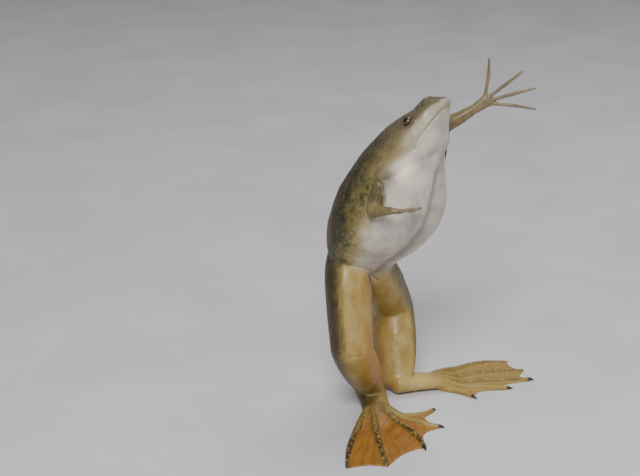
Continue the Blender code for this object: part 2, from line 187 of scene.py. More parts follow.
def loft(rings, tip_a, tip_b):
    "closes a run of rings into one lump of clay"
    n, m = len(rings[0]), len(rings)
    points = np.vstack(rings + [tip_a, tip_b])
    faces = []
    for r in range(m - 1):
        for i in range(n):
            j = (i + 1) % n
            faces.append((r * n + i, r * n + j, (r + 1) * n + j, (r + 1) * n + i))
    for i in range(n):
        j = (i + 1) % n
        faces.append((j, i, m * n))
        faces.append(((m - 1) * n + i, (m - 1) * n + j, m * n + 1))
    clay.append((points, faces))


def narrowing(s):
    "the share by which the upper side is narrower at a place along the body"
    return TOP_NARROW * ease(s / CROWN_FULL) * (1 - ease((s - CROWN_END) / CROWN_FADE))


print("a ring of four points:", ring(np.zeros(3), LEFT, BACK, 1, 1, 4).round(1).tolist())

# %% Trunk and head
BODY_RING = 112
body_rows = smooth_rows(BODY, 4)
body_table = body_rows.T
body_rings = []
for s, wide, deep, shift, power in body_rows:
    left_way, back_way = turned(s)
    body_rings.append(ring(head_at(s, 0, shift * LENGTH), left_way, back_way, wide * LENGTH - SKIN_IN,
                           deep * LENGTH - SKIN_IN, BODY_RING, power, narrowing(s)))
loft(body_rings, head_at(-0.013, 0, -2.0), at(0.999, 0, 0.030 * LENGTH))
print("trunk and head:", len(body_rings), "rings")

# %% [markdown]
# ## Limbs
#
# A limb is a round tube along its bones, thicker over the muscles and thin at wrist and ankle.
# Each is given as a few places with a width and a depth. The joints' places are those of the
# solids: shoulder, elbow, wrist, hip, knee and heel. Tubes that run a little into each other at a
# joint are what the skin needs, because it closes over both.

# %% Joints of the limbs
NEARER = np.array((-0.2, -3.0, 0.8))     # brings the arms a little toward the camera
SIDES = (("right", -1), ("left", 1))
JOINTS = {
    "right": dict(shoulder=at(0.405, -16.0, -2.0), elbow=np.array((-1.2, 2.3, 100.8)) + NEARER,
                  wrist=np.array((6.6, -6.6, 104.0)) + NEARER, palm=np.array((8.8, -6.6, 103.8)) + NEARER,
                  hip=at(0.88, -7.0, 4.0), knee=np.array((-9.4, 7.0, 35.6)),
                  heel=np.array((0.3, 27.6, 5.1)), foot=np.array((2.4, 14.2, 2.9))),
    "left": dict(shoulder=at(0.33, 14.0, -1.0), elbow=np.array((31.1, 43.8, 125.3)) + NEARER,
                 wrist=np.array((45.0, 44.5, 133.6)) + NEARER, palm=np.array((49.0, 44.6, 136.6)) + NEARER,
                 hip=at(0.875, 7.3, 3.7), knee=np.array((10.9, 59.0, 34.2)),
                 heel=np.array((12.3, 38.0, 5.0)), foot=np.array((30.5, 44.0, 2.9))),
}
FINGERS = {
    "right": [(16.4, 4.4, 101.2), (19.2, 4.6, 101.4), (19.0, 2.6, 101.7), (16.2, 0.5, 102.2)],
    "left": [(49.6, 44.0, 155.8), (64.3, 43.0, 150.3), (70.2, 42.0, 143.1), (70.2, 42.0, 133.7)],
}
print("joints of one side:", len(JOINTS["left"]))

# %% Widths and depths of the limbs
ARM_AT, FOREARM_AT = (0, 0.5, 1), (0, 0.35, 0.75, 1)
THIGH_AT, SHANK_AT = (-0.12, 0.05, 0.30, 0.64, 1.02), (-0.02, 0.24, 0.50, 0.78, 1.0)
TARSUS_AT = (-0.02, 0.35, 0.70, 1.08)
ARM_SIZE = {"right": ((3.4, 3.8), (3.1, 3.4), (2.8, 2.9)),
            "left": ((3.9, 4.2), (3.3, 3.6), (2.9, 2.9))}
FOREARM_SIZE = {"right": ((2.8, 2.9), (2.6, 2.5), (2.0, 1.9), (1.6, 1.5)),
                "left": ((2.9, 2.9), (3.2, 3.1), (2.8, 2.5), (2.3, 1.9))}
HAND_SIZE = {"right": ((1.6, 1.5), (2.0, 1.3), (2.0, 1.1)), "left": ((2.3, 1.9), (2.9, 1.7), (2.6, 1.2))}
THIGH_SIZE = {"right": ((8.4, 9.2), (9.9, 10.8), (10.2, 11.2), (9.9, 9.8), (9.2, 7.8)),
              "left": ((8.4, 9.2), (9.9, 10.8), (10.6, 11.2), (10.6, 10.0), (9.8, 8.0))}
SHANK_SIZE = {"right": ((9.2, 7.5), (9.5, 8.3), (8.9, 7.3), (7.5, 5.4), (6.7, 4.9)),
              "left": ((9.8, 7.6), (10.4, 8.5), (10.4, 7.8), (9.4, 6.0), (7.2, 5.0))}
TARSUS_SIZE = ((6.9, 5.1), (6.5, 4.1), (6.4, 3.4), (6.8, 3.0))
print("thigh's greatest depth, mm:", max(deep for wide, deep in THIGH_SIZE["right"]))

# %% Limb tubes
CAP = (0.42, 0.75, 0.97)      # rings that round a tube's end, as shares of the cap's height
LEG_RING, TARSUS_RING, FINGER_RING = 56, 48, 16
bones = {}                    # name: smooth rows of x, y, z, width, depth along each limb


def round_end(place, way, u, v, wide, deep, n, blunt, shares):
    "rings that close a tube roundly, in the direction way"
    return [ring(place + way * (blunt * deep * q), u, v, wide * math.sqrt(1 - q * q),
                 deep * math.sqrt(1 - q * q), n) for q in shares]


def limb(name, places, across, n=40, steps=8, blunt=0.62):
    "a round-ended tube through (point, wide, deep); wide is measured along across"
    rows = smooth_rows([(*p, wide, deep) for p, wide, deep in places], steps)
    bones[name] = rows
    last = len(rows) - 1
    rings, tips = [], []
    for i, row in enumerate(rows):
        p = row[:3]
        wide, deep = (size - SKIN_IN * min(1, size / 3) for size in row[3:])
        t = unit(rows[min(i + 1, last)][:3] - rows[max(i - 1, 0)][:3])
        u = unit(across - across.dot(t) * t)
        v = np.cross(t, u)
        if i == 0:
            rings += round_end(p, -t, u, v, wide, deep, n, blunt, CAP[::-1])
            tips.append(p - t * (blunt * deep))
        rings.append(ring(p, u, v, wide, deep, n))
        if i == last:
            rings += round_end(p, t, u, v, wide, deep, n, blunt, CAP)
            tips.append(p + t * (blunt * deep))
    loft(rings, tips[0], tips[1])


def stations(start, end, shares, sizes):
    "places at shares of the way from start to end, each with its width and depth"
    return [(start + (end - start) * t, *size) for t, size in zip(shares, sizes)]


def hinge_of(first, middle, last):
    "the direction about which a joint bends"
    return unit(np.cross(middle - first, last - middle))


for side, sign in SIDES:
    j = JOINTS[side]
    hinge = hinge_of(j["hip"], j["knee"], j["heel"])
    limb("thigh_" + side, stations(j["hip"], j["knee"], THIGH_AT, THIGH_SIZE[side]), hinge, LEG_RING)
    limb("shank_" + side, stations(j["knee"], j["heel"], SHANK_AT, SHANK_SIZE[side]), hinge, LEG_RING)
    flat = unit(np.cross(UP, j["foot"] - j["heel"]))
    limb("tarsus_" + side, stations(j["heel"], j["foot"], TARSUS_AT, TARSUS_SIZE), flat, TARSUS_RING)
    hinge = hinge_of(j["shoulder"], j["elbow"], j["wrist"])
    limb("arm_" + side, stations(j["shoulder"], j["elbow"], ARM_AT, ARM_SIZE[side]), hinge)
    limb("forearm_" + side, stations(j["elbow"], j["wrist"], FOREARM_AT, FOREARM_SIZE[side]), hinge)
print("limb tubes:", len(bones))

# %% [markdown]
# ## Hands
#
# The clawed frog's fingers are thin, round and quite free of web. Each runs from the palm to its
# tip in a slight bow, with a knuckle in the middle, where the finger is a little wider again.

# %% Hands
OUTER_FINGER, FINGER_GAP = 1.95, 1.3
FINGER_SIZE = ((1.1, 0.95), (0.80, 0.76), (0.86, 0.82), (0.66, 0.62), (0.66, 0.62), (0.42, 0.42))


def finger_places(root, mid, tip):
    "the places where FINGER_SIZE holds, from the root to the tip"
    return (root, root * 0.66 + mid * 0.34, mid, mid * 0.6 + tip * 0.4, mid * 0.3 + tip * 0.7, tip)


for side, sign in SIDES:
    j = JOINTS[side]
    tips = [np.array(p) + NEARER for p in FINGERS[side]]
    ahead = unit(j["palm"] - j["wrist"])
    spread = tips[0] - tips[3]
    spread = unit(spread - spread.dot(ahead) * ahead)
    places = (j["wrist"] - ahead * 0.6, j["palm"], j["palm"] + ahead * 1.6)
    limb("palm_" + side, [(p, *size) for p, size in zip(places, HAND_SIZE[side])], spread)
    for k, tip in enumerate(tips):
        root = j["palm"] + ahead * 0.9 + spread * (OUTER_FINGER - FINGER_GAP * k)
        places = finger_places(root, (root + tip) / 2 + ahead * 0.6, tip)
        limb("finger%d_%s" % (k + 1, side), [(p, *size) for p, size in zip(places, FINGER_SIZE)],
             spread, FINGER_RING, 4, 0.8)
print("fingers:", sum("finger" in name for name in bones))

# %% [markdown]
# ## Webbed feet
#
# Each foot has five long toes joined to their tips by web. A foot can be built like a tent roof:
# columns of points run out from the ankle, some along each toe and some over each stretch of web.
# Where a column lies on a toe it is high and round, and where it lies on web it is low. The web
# draws in between the toes by the share called HOLLOW. The sole is flat on the floor.

# %% Toe places and sizes
# for each toe, a place halfway along it and its tip, on the floor
TOES = {
    "right": [((17.3, 11.8), (29.3, 19.2)), ((19.4, 6.0), (31.8, 1.6)), ((16.0, -2.6), (22.0, -19.4)),
              ((2.4, -13.0), (4.9, -33.3)), ((-9.8, -14.4), (-11.8, -34.8))],
    "left": [((40.0, 37.0), (48.8, 29.9)), ((49.6, 40.6), (66.5, 40.4)), ((55.0, 47.2), (77.6, 49.9)),
             ((54.0, 56.2), (74.2, 59.8)), ((50.0, 65.2), (67.7, 69.0))],
}
HOLLOW = (0.80, 0.84, 0.93, 0.96)
WEB = 0.62                    # thickness of the web
ANKLE_Z, ANKLE_WIDE, ANKLE_DEEP = 2.9, 6.8, 3.0
OUTER_TOE, TOE_GAP = 4.9, 2.45           # where the roots of the toes lie across the ankle
CLAWED = 3                    # the first three toes carry claws
CLAW_LONG, TIP_BACK = 2.6, 0.3           # how far the flesh stops short of a clawed and a bare tip
TOE_ROOT, TOE_WIDE, TOE_TALL = 0.75, 1.75, 3.3
CLAWED_TIP, BARE_TIP = (0.95, 1.4), (0.62, 1.9)    # half width at the tip, and the fall in height
KNUCKLE_HIGH, KNUCKLES = 0.16, 13
TOE_STEPS = np.linspace(0, 1, 34)
TOE_COLUMNS = WEB_COLUMNS = 11
toe_lines = {}                # (side, toe): points on the floor along the toe
claw_places = {}              # (side, toe): where the claw starts, its direction and its tip
print("toes:", sum(len(toes) for toes in TOES.values()))


# %% Columns of points over a foot
def arch(a):
    "height of the ankle at a distance a from its middle"
    return ANKLE_Z + ANKLE_DEEP * math.sqrt(max(0.0, 1 - (a / ANKLE_WIDE) ** 2))


def flat_pair(p):
    return np.array((p[0], p[1], 0.0))


def foot_ahead(side):
    "the direction in which a foot points, along the floor"
    return unit(flat_pair(JOINTS[side]["foot"]) - flat_pair(JOINTS[side]["heel"]))


def toe_size(t, clawed):
    "half width and height of a toe at a share t of its length"
    tip_wide, fall = CLAWED_TIP if clawed else BARE_TIP
    width = TOE_ROOT + (TOE_WIDE - TOE_ROOT) * ease(t / 0.3)
    if t > 0.3:
        width = TOE_WIDE + (tip_wide - TOE_WIDE) * ease((t - 0.3) / 0.7)
    tall = TOE_TALL - fall * t - SKIN_IN
    return width, tall + KNUCKLE_HIGH * math.sin(t * KNUCKLES) * ease(t / 0.3)


def toe_columns(side, k, ahead, across):
    "columns of points over one toe, from one edge to the other"
    mid, tip = (flat_pair(p) for p in TOES[side][k])
    lateral = OUTER_TOE - TOE_GAP * k
    root = flat_pair(JOINTS[side]["foot"]) + across * lateral
    bend = mid * 2 - (root + tip) / 2
    way = unit(tip - bend)
    stop = tip - way * (CLAW_LONG if k < CLAWED else TIP_BACK)
    line, columns = [], [[] for _ in range(TOE_COLUMNS)]
    for t in TOE_STEPS:
        p = root * (1 - t) ** 2 + bend * (2 * t * (1 - t)) + stop * t ** 2
        line.append(p)
        run = unit((bend - root) * (1 - t) + (stop - bend) * t)
        n = np.array((-run[1], run[0], 0.0))
        if n.dot(across) < 0 and k != 0 or k == 0 and n.dot(ahead) > 0:
            n = -n
        n = unit(across * (1 - ease(t / 0.12)) + n * ease(t / 0.12))
        width, tall = toe_size(t, k < CLAWED)
        top = arch(lateral) * (1 - ease(t / 0.34)) + tall * ease(t / 0.34)
        for c, f in enumerate(np.linspace(1, -1, TOE_COLUMNS)):
            low = arch(lateral + f * width) * (1 - ease(t / 0.3)) + WEB * ease(t / 0.3)
            q = p + n * (f * width)
            z = low + (top - low) * math.sqrt(max(0.0, 1 - f * f))
            columns[c].append(np.array((q[0], q[1], z)))
    toe_lines[side, k] = np.array(line)
    if k < CLAWED:
        claw_places[side, k] = (stop, way, tip)
    return columns


def web_columns(k, first, second, centre):
    "columns of points over the web between toe k and the next, from the edge columns of both"
    columns = []
    for f in np.arange(1, WEB_COLUMNS + 1) / (WEB_COLUMNS + 1):
        hump = 1 - (abs(f - 0.5) / 0.5) ** 1.8
        column = []
        for t, a, b in zip(TOE_STEPS, first, second):
            q = a + (b - a) * f
            q = centre + (q - centre) * (1 - (1 - HOLLOW[k]) * hump * t)
            z = arch(OUTER_TOE - TOE_GAP * (k + 0.5)) * (1 - ease(t / 0.27)) + WEB * ease(t / 0.27)
            column.append(np.array((q[0], q[1], z)))
        columns.append(column)
    return columns


def foot_columns(side):
    "columns of points over the foot, from the first toe's edge to the fifth's"
    ahead = foot_ahead(side)
    across = np.array((-ahead[1], ahead[0], 0.0))
    if across.dot(flat_pair(TOES[side][0][1]) - flat_pair(TOES[side][4][1])) < 0:
        across = -across
    centre = flat_pair(JOINTS[side]["foot"]) + ahead * 3
    toes = [toe_columns(side, k, ahead, across) for k in range(len(TOES[side]))]
    columns = list(toes[0])
    for k in range(len(HOLLOW)):
        columns += web_columns(k, toes[k][-1], toes[k + 1][0], centre) + toes[k + 1]
    return columns


print("height of the ankle, mm:", arch(0))


# %% Feet
def add_foot(side):
    "closes a foot's columns with a flat sole into one lump of clay"
    columns = foot_columns(side)
    c, r = len(columns), len(TOE_STEPS)
    top = np.array(columns).reshape(-1, 3)
    low = top * (1, 1, 0)
    points = np.vstack([top, low])
    faces, under = [], c * r
    for a in range(c - 1):
        for b in range(r - 1):
            i = a * r + b
            faces.append((i, i + r, i + r + 1, i + 1))
            faces.append((under + i, under + i + 1, under + i + r + 1, under + i + r))
    edge = [a * r for a in range(c)] + [(c - 1) * r + b for b in range(1, r)]
    edge += [a * r + r - 1 for a in range(c - 2, -1, -1)] + [b for b in range(r - 2, 0, -1)]
    for i, j in zip(edge, edge[1:] + edge[:1]):
        faces.append((j, i, under + i, under + j))
    clay.append((points, faces))
    return c


for side, sign in SIDES:
    print("foot", side, add_foot(side), "columns")

# %% [markdown]
# ## Domes for the eyes
#
# The frog's eyes stand out of the sides of its crown on low domes, with no lids that shut over
# them, and below each is a very short feeler. Both are added as clay before the skin is drawn.

# %% Eye domes and feelers
EYE_AT, EYE_SIDE, EYE_UP, EYE_R = 0.139, 8.6, 5.7, 2.45
DOME_OVER = 1.05              # how much larger the dome is than the eye
FEELER_AT, FEELER_SIDE, FEELER_UP = 0.118, 10.4, 2.4
eyes = {}                     # side: the eye's middle and the direction of its look
for side, sign in SIDES:
    left_way, back_way = turned(EYE_AT)
    centre = head_at(EYE_AT, sign * EYE_SIDE, EYE_UP)
    look = unit(left_way * (sign * 0.80) + back_way * 0.42 + FORE * 0.40)
    eyes[side] = (centre, look)
    middle = centre + unit(head_at(EYE_AT, 0, 2.0) - centre) * 0.9
    dome = EYE_R + DOME_OVER
    angles = [math.pi * k / 18 for k in range(1, 18)]
    rings = [ring(middle + back_way * (dome * math.cos(a)), left_way, FORE, dome * math.sin(a),
                  dome * math.sin(a), 40) for a in angles]
    loft(rings, middle + back_way * dome, middle - back_way * dome)
    root = head_at(FEELER_AT, sign * FEELER_SIDE, FEELER_UP)
    out_way = left_way * sign
    limb("feeler_" + side, [(root, 0.55, 0.55), (root + (out_way * 0.75 + FORE * 0.5) * 1.2, 0.48, 0.48),
                            (root + (out_way * 0.8 + FORE * 0.55) * 2.2, 0.34, 0.34)], back_way, 12, 4)
print("eyes at", {k: v[0].round(1).tolist() for k, v in eyes.items()})

# %% [markdown]
# ## One skin over all of it
#
# Real skin has no seam at the shoulder or the knee. The lumps of clay are joined in one mesh and
# a voxel remesh draws a new, even surface round them, as a shrink-wrap would. Its faces come out
# slightly stepped, so the points are then relaxed: each moves toward the middle of its
# neighbours and part of the way out again, which keeps the fingers from getting thin. Where a
# limb meets the body the sharp crease is filled: there the points may only move outward.

# %% Remesh
VOXEL = 0.36


def make_mesh(name, points, faces):
    mesh = bpy.data.meshes.new(name)
    mesh.from_pydata([tuple(p) for p in points], [], faces)
    mesh.update()
    return mesh


def link(name, data):
    obj = bpy.data.objects.new(name, data)
    bpy.context.scene.collection.objects.link(obj)
    return obj


def evaluated(obj):
    deps = bpy.context.evaluated_depsgraph_get()
    return bpy.data.meshes.new_from_object(obj.evaluated_get(deps))


all_points, all_faces, start = [], [], 0
for points, faces in clay:
    all_points.append(points)
    all_faces += [tuple(i + start for i in face) for face in faces]
    start += len(points)
skin = link("frog_skin", make_mesh("frog_skin", np.vstack(all_points), all_faces))
remesh = skin.modifiers.new("wrap", "REMESH")
remesh.mode = "VOXEL"
remesh.voxel_size = VOXEL
skin.data = evaluated(skin)
skin.modifiers.clear()
print("remeshed skin:", len(skin.data.vertices), "points")

# %% [markdown]
# ## Asking where a point is
#
# To model or to paint a place, one has to know which points of the mesh lie there. The helpers
# below say of each point how far along the body it is, how far round, how far out of the trunk,
# and how near to a limb's bone. The folds use these measures now and the colours use them later,
# so both stay in step.

# %% Where a point is on the body
FAR = 1e9


def body_size(s):
    "half width, half depth and shift toward the back of the trunk, in millimetres"
    return [np.interp(s, body_table[0], body_table[k]) * LENGTH for k in (1, 2, 3)]


def on_body(points):
    "place along the body, distance to the left, toward the back, and how far out of the trunk"
    s = (SNOUT - points) @ FORE / LENGTH
    a = roll_at(s)
    q = points - (SNOUT - np.outer(s * LENGTH, FORE))
    x, z = q @ LEFT, q @ BACK
    left, back = x * np.cos(a) + z * np.sin(a), z * np.cos(a) - x * np.sin(a)
    wide, deep, shift = body_size(s)
    high = (back - shift) / deep
    wide = wide * (1 - narrowing(s) * np.clip(high, 0, 1))
    beyond = np.maximum(np.maximum(s - BODY[-1][0], BODY[0][0] - s), 0) * LENGTH / 4
    out = np.sqrt((left / wide) ** 2 + high ** 2 + beyond ** 2)
    return s, left, back, high, left / wide, out


def nearest_on(points, line, sizes):
    "distance to the nearest point of a line over the size there, and the place along it, 0 to 1"
    best, place = np.full(len(points), FAR), np.zeros(len(points))
    for i, (p, size) in enumerate(zip(line, sizes)):
        d = np.linalg.norm(points - p, axis=1) / size
        nearer = d < best
        best[nearer] = d[nearer]
        place[nearer] = i / (len(line) - 1)
    return best, place


def from_bone(points, name):
    "distance from a limb's middle line as a share of its thickness, and the place along it"
    rows = bones[name]
    return nearest_on(points, rows[:, :3], np.sqrt(rows[:, 3] * rows[:, 4]))


def off_limb(points, name):
    "distance from a limb's surface in millimetres"
    best = np.full(len(points), FAR)
    for row in bones[name]:
        best = np.minimum(best, np.linalg.norm(points - row[:3], axis=1) - math.sqrt(row[3] * row[4]))
    return best


print("the middle of the trunk, half width, half depth and shift:", np.round(body_size(0.5), 1))


# %% Reading, writing and relaxing points
def get_points(mesh):
    co = np.empty(len(mesh.vertices) * 3, np.float32)
    mesh.vertices.foreach_get("co", co)
    return co.reshape(-1, 3).astype(float)


def set_points(mesh, points):
    mesh.vertices.foreach_set("co", points.astype(np.float32).ravel())
    mesh.update()


def get_normals(mesh):
    n = np.empty(len(mesh.vertices) * 3, np.float32)
    mesh.vertex_normals.foreach_get("vector", n)
    return n.reshape(-1, 3).astype(float)


def get_edges(mesh):
    e = np.empty(len(mesh.edges) * 2, np.int32)
    mesh.edges.foreach_get("vertices", e)
    return e.reshape(-1, 2)


def relax(points, edges, rounds, share=1.0, push=0.5, pull=-0.53):
    "moves points toward their neighbours' middle and part of the way back"
    n = len(points)
    count = np.bincount(edges.ravel(), minlength=n)[:, None]
    share = np.asarray(share, float)
    share = share[:, None] if share.ndim else share
    steps = (push, pull) if pull else (push,)
    for _ in range(rounds):
        for step in steps:
            near = np.stack([np.bincount(edges[:, 0], points[edges[:, 1], c], n)
                             + np.bincount(edges[:, 1], points[edges[:, 0], c], n)
                             for c in range(3)], axis=1)
            points = points + (near / count - points) * step * share
    return points


print("points of the skin:", get_points(skin.data).shape)

# %% Relax the skin
FILL_ROUNDS = 8
points = get_points(skin.data)
edges = get_edges(skin.data)
points = relax(points, edges, 8)
out = on_body(points)[-1]
joint = np.zeros(len(points))
for side, sign in SIDES:
    for name in ("thigh_", "arm_"):
        q, _ = from_bone(points, name + side)
        joint = np.maximum(joint, hill(q - out, 0.32) * (q < 1.9) * (out < 1.9))
    for first, second in (("thigh_", "shank_"), ("shank_", "tarsus_"), ("arm_", "forearm_"),
                          ("forearm_", "palm_")):
        a, _ = from_bone(points, first + side)
        b, _ = from_bone(points, second + side)
        joint = np.maximum(joint, 0.55 * hill(a - b, 0.25) * (a < 1.5) * (b < 1.5))
for _ in range(FILL_ROUNDS):
    set_points(skin.data, points)
    normals = get_normals(skin.data)
    for _ in range(6):
        moved = relax(points, edges, 1, joint, 0.8, 0.0)
        outward = np.maximum(np.einsum("ij,ij->i", moved - points, normals), 0)
        points = points + normals * outward[:, None]
points = relax(points, edges, 4)
set_points(skin.data, points)
print("relaxed; points near a joint:", int((joint > 0.3).sum()))

# %% [markdown]
# ## The head
#
# The head is what people look at first, so it gets a finer mesh: its faces are split once more.
# Then it is modelled as a sculptor would, by moving points in or out along the surface. A mouth
# is a groove with a full lip above it, a nostril is a pit with a raised edge, and the rim of an
# eye is a fold that stands round the opening. Each is a hill or a valley of known width.

# %% Split the head's faces
NECK = 0.262                  # where the head ends


def split_faces(obj, chosen):
    "cuts every edge in two whose ends are both chosen"
    bm = bmesh.new()
    bm.from_mesh(obj.data)
    bm.verts.ensure_lookup_table()
    cut = [e for e in bm.edges if chosen[e.verts[0].index] and chosen[e.verts[1].index]]
    bmesh.ops.subdivide_edges(bm, edges=cut, cuts=1, use_grid_fill=True)
    bm.to_mesh(obj.data)
    bm.free()


s, _, _, _, _, out = on_body(get_points(skin.data))
split_faces(skin, (s < NECK) & (out < 1.32))
print("with a finer head:", len(skin.data.vertices), "points")

# %% Mouth
MOUTH_FRONT, MOUTH_BACK = -4.3, -2.0     # the mouth's height at the snout and at the neck
MOUTH_END = 0.214             # where the corner of the mouth is
# height, place above the mouth line, and width of the groove and of the lips on either side
LIPS = ((-0.62, 0.0, 0.30), (0.30, 0.95, 0.62), (0.16, -0.85, 0.55))


def mouth_height(s):
    "height of the mouth line, which turns down at its corner"
    return MOUTH_FRONT + (MOUTH_BACK - MOUTH_FRONT) * s / NECK - 1.3 * ease((s - 0.175) / 0.05)


edges = get_edges(skin.data)
points = relax(get_points(skin.data), edges, 2)
set_points(skin.data, points)
normals = get_normals(skin.data)
s, left, back, high, side_way, out = on_body(points)
on_head = (1 - ease((s - 0.27) / 0.05)) * (out < 1.3)
off_line = back - mouth_height(s)
mouth = (1 - ease((s - MOUTH_END + 0.012) / 0.014)) * on_head * (out > 0.8)
move = mouth * sum(height * hill(off_line - place, width) for height, place, width in LIPS)
# the corner of the mouth sinks in, with a small fold behind it
at_corner = head_at(MOUTH_END, 0, mouth_height(MOUTH_END))
back_way = turned(MOUTH_END)[1]
for side, sign in SIDES:
    this_side = points[(out > 0.8) & (left * sign > 0)]
    off = this_side - at_corner
    middle = this_side[np.argmin(np.abs(off @ FORE) + np.abs(off @ back_way))]
    d = np.linalg.norm(points - middle, axis=1)
    move += -0.35 * hill(d, 0.8) + 0.30 * hill(d - 1.9, 0.8) * (s > MOUTH_END)
points = points + normals * move[:, None]
print("mouth line, mm below the middle:", [round(float(-mouth_height(s)), 1) for s in (0.0, MOUTH_END)])

# %% Nostrils
NOSTRIL_AT, NOSTRIL_SIDE, NOSTRIL_UP = 0.020, 2.5, 6.6
NOSTRIL_WIDE, NOSTRIL_DEEP, RIM_OUT, RIM_HIGH = 0.42, 1.15, 0.85, 0.30
for side, sign in SIDES:
    hole = head_at(NOSTRIL_AT, sign * NOSTRIL_SIDE, NOSTRIL_UP)
    hole = points[np.argmin(np.linalg.norm(points - hole, axis=1))]
    d = np.linalg.norm(points - hole, axis=1)
    rise = RIM_HIGH * hill(d - RIM_OUT, NOSTRIL_WIDE) - NOSTRIL_DEEP * hill(d, NOSTRIL_WIDE)
    points = points + normals * rise[:, None]
    print("nostril", side, "at", hole.round(1).tolist())

# %% Eye openings
OPENING, LID_END = math.radians(70), math.radians(125)
LID_REACH, SOCKET = 1.6, 0.55
LID_GAP, LID_HIGH, LID_WIDE = 0.12, 0.30, 0.16
for side, sign in SIDES:
    centre, look = eyes[side]
    d = points - centre
    r = np.linalg.norm(d, axis=1)
    angle = np.arccos(np.clip(d @ look / np.maximum(r, 1e-6), -1, 1))
    inside = (angle < OPENING) & (r < EYE_R + LID_REACH)
    rim = (angle >= OPENING) & (angle < LID_END) & (r < EYE_R + LID_REACH)
    new_r = r.copy()
    new_r[inside] = EYE_R - SOCKET * ease((OPENING - angle[inside]) / 0.10)
    lid = EYE_R + LID_GAP + LID_HIGH * hill(angle - OPENING - LID_WIDE, LID_WIDE)
    new_r[rim] = np.maximum(r[rim], lid[rim])
    changed = (inside | rim)[:, None]
    points = np.where(changed, centre + d * (new_r / np.maximum(r, 1e-6))[:, None], points)
near_head = ((s < 0.27) & (out < 1.35)).astype(float)
points = relax(points, edges, 1, near_head * 0.6)
set_points(skin.data, points)
print("highest and lowest point:", points[:, 2].max().round(2), points[:, 2].min().round(2))

# %% [markdown]
# ## Folds and muscles
#
# Under the wet skin the body is soft: the throat folds where the head is raised, the belly
# has a shallow valley down its middle, the skin gathers at the armpits and groin, and the calf
# and thigh show their muscles. These are broad, low shapes, so plain formulas in the body's own
# directions do the work. A little unevenness, made of a few long waves that are the same on each
# run, keeps large areas from looking machined.

# %% Lines on the body
# each line runs through pairs: place along the body, and angle round it, where 90 is the back
# and -90 the belly
CHEEK_FOLD = [(0.385, -13), (0.350, -16), (0.305, -19), (0.255, -26), (0.215, -40), (0.180, -58),
              (0.160, -80)]
THROAT_FURROW = [(0.375, -23), (0.330, -30), (0.285, -38), (0.245, -52), (0.215, -72)]
CHEEK_CREASE = [(0.330, -2), (0.285, -6), (0.245, -10), (0.222, -14)]


def line_on_body(sign, run):
    "points on one side of the trunk along a line of such pairs"
    out = []
    for s, angle in smooth_rows(run, 8):
        wide, deep, shift = body_size(s)
        v = math.sin(math.radians(angle))
        x = wide * math.cos(math.radians(angle)) * (1 - narrowing(s) * max(v, 0))
        out.append(head_at(s, sign * x, shift + deep * v))
    return np.array(out)


def from_line(points, line):
    "distance in millimetres from a line, where it is near"
    best = np.full(len(points), FAR)
    near = np.linalg.norm(points - line.mean(0), axis=1) < 60
    for p in line:
        best[near] = np.minimum(best[near], np.linalg.norm(points[near] - p, axis=1))
    return best


print("points of the fold across the cheek:", len(line_on_body(1, CHEEK_FOLD)))

# %% Folds of the trunk
normals = get_normals(skin.data)
s, left, back, high, side_way, out = on_body(points)
around = np.degrees(np.arctan2(high, np.abs(side_way)))      # 90 on the back, -90 on the belly
on_trunk = 1 - ease((out - 1.03) / 0.12)
move = np.zeros(len(points))
# valley down the belly, a little left of its middle
VALLEY_LEFT, VALLEY_WIDE, VALLEY_DEEP = 1.8, 2.3, 1.25
valley = ease((s - 0.26) / 0.08) * (1 - ease((s - 0.80) / 0.12)) * (high < 0)
move -= VALLEY_DEEP * hill(left - VALLEY_LEFT, VALLEY_WIDE) * valley * on_trunk
# a soft fold from the arm across the cheek to the throat, with a furrow on either side of it
for side, sign in SIDES:
    for run, height, width in ((CHEEK_FOLD, 0.62, 3.0), (THROAT_FURROW, -0.45, 1.5),
                               (CHEEK_CREASE, -0.35, 0.9)):
        move += height * hill(from_line(points, line_on_body(sign, run)), width)
# a shallow furrow along the flank, where back skin meets belly skin
move -= 0.30 * hill(around + 16, 7) * ease((s - 0.45) / 0.1) * (1 - ease((s - 0.82) / 0.08)) * on_trunk
# hip bones either side of the rump
HIP_AT, HIP_SIDE = 0.74, 6.5
move += 0.50 * hill(np.abs(left) - HIP_SIDE, 2.2) * hill((s - HIP_AT) * LENGTH, 9) * (high > 0) * on_trunk
# the vent
move -= 0.9 * hill(np.linalg.norm(points - at(0.985, 0, 2.9), axis=1), 1.3)
print("folds of the trunk, mm:", move.min().round(2), "to", move.max().round(2))

# %% Folds and muscles of the limbs
# bone, its ends, the depth of the grooves between its muscles, and the angles where they run
MUSCLES = (("thigh_", "hip", "knee", 0.20, (70, 200)), ("shank_", "knee", "heel", 0.16, (40, 160, 285)))
GROOVE_WIDE = 13              # degrees
for side, sign in SIDES:
    j = JOINTS[side]
    q, _ = from_bone(points, "thigh_" + side)
    move -= 0.45 * hill(q - out, 0.06) * (q < 1.35) * (out < 1.35) * (s > 0.6)
    q, _ = from_bone(points, "arm_" + side)
    move -= 0.40 * hill(q - out, 0.09) * (q < 1.5) * (out < 1.5) * (s < 0.6)
    hinge = hinge_of(j["hip"], j["knee"], j["heel"])
    for name, top, low, depth, angles in MUSCLES:
        other = np.cross(unit(j[low] - j[top]), hinge)
        q, t = from_bone(points, name + side)
        d = points - j[top]
        turn = np.degrees(np.arctan2(d @ other, d @ hinge)) % 360
        window = ease((t - 0.10) / 0.2) * (1 - ease((t - 0.80) / 0.18)) * (q < 1.25)
        for middle in angles:
            move -= depth * hill(((turn - middle + 180) % 360) - 180, GROOVE_WIDE) * window
print("with those of the limbs, mm:", move.min().round(2), "to", move.max().round(2))


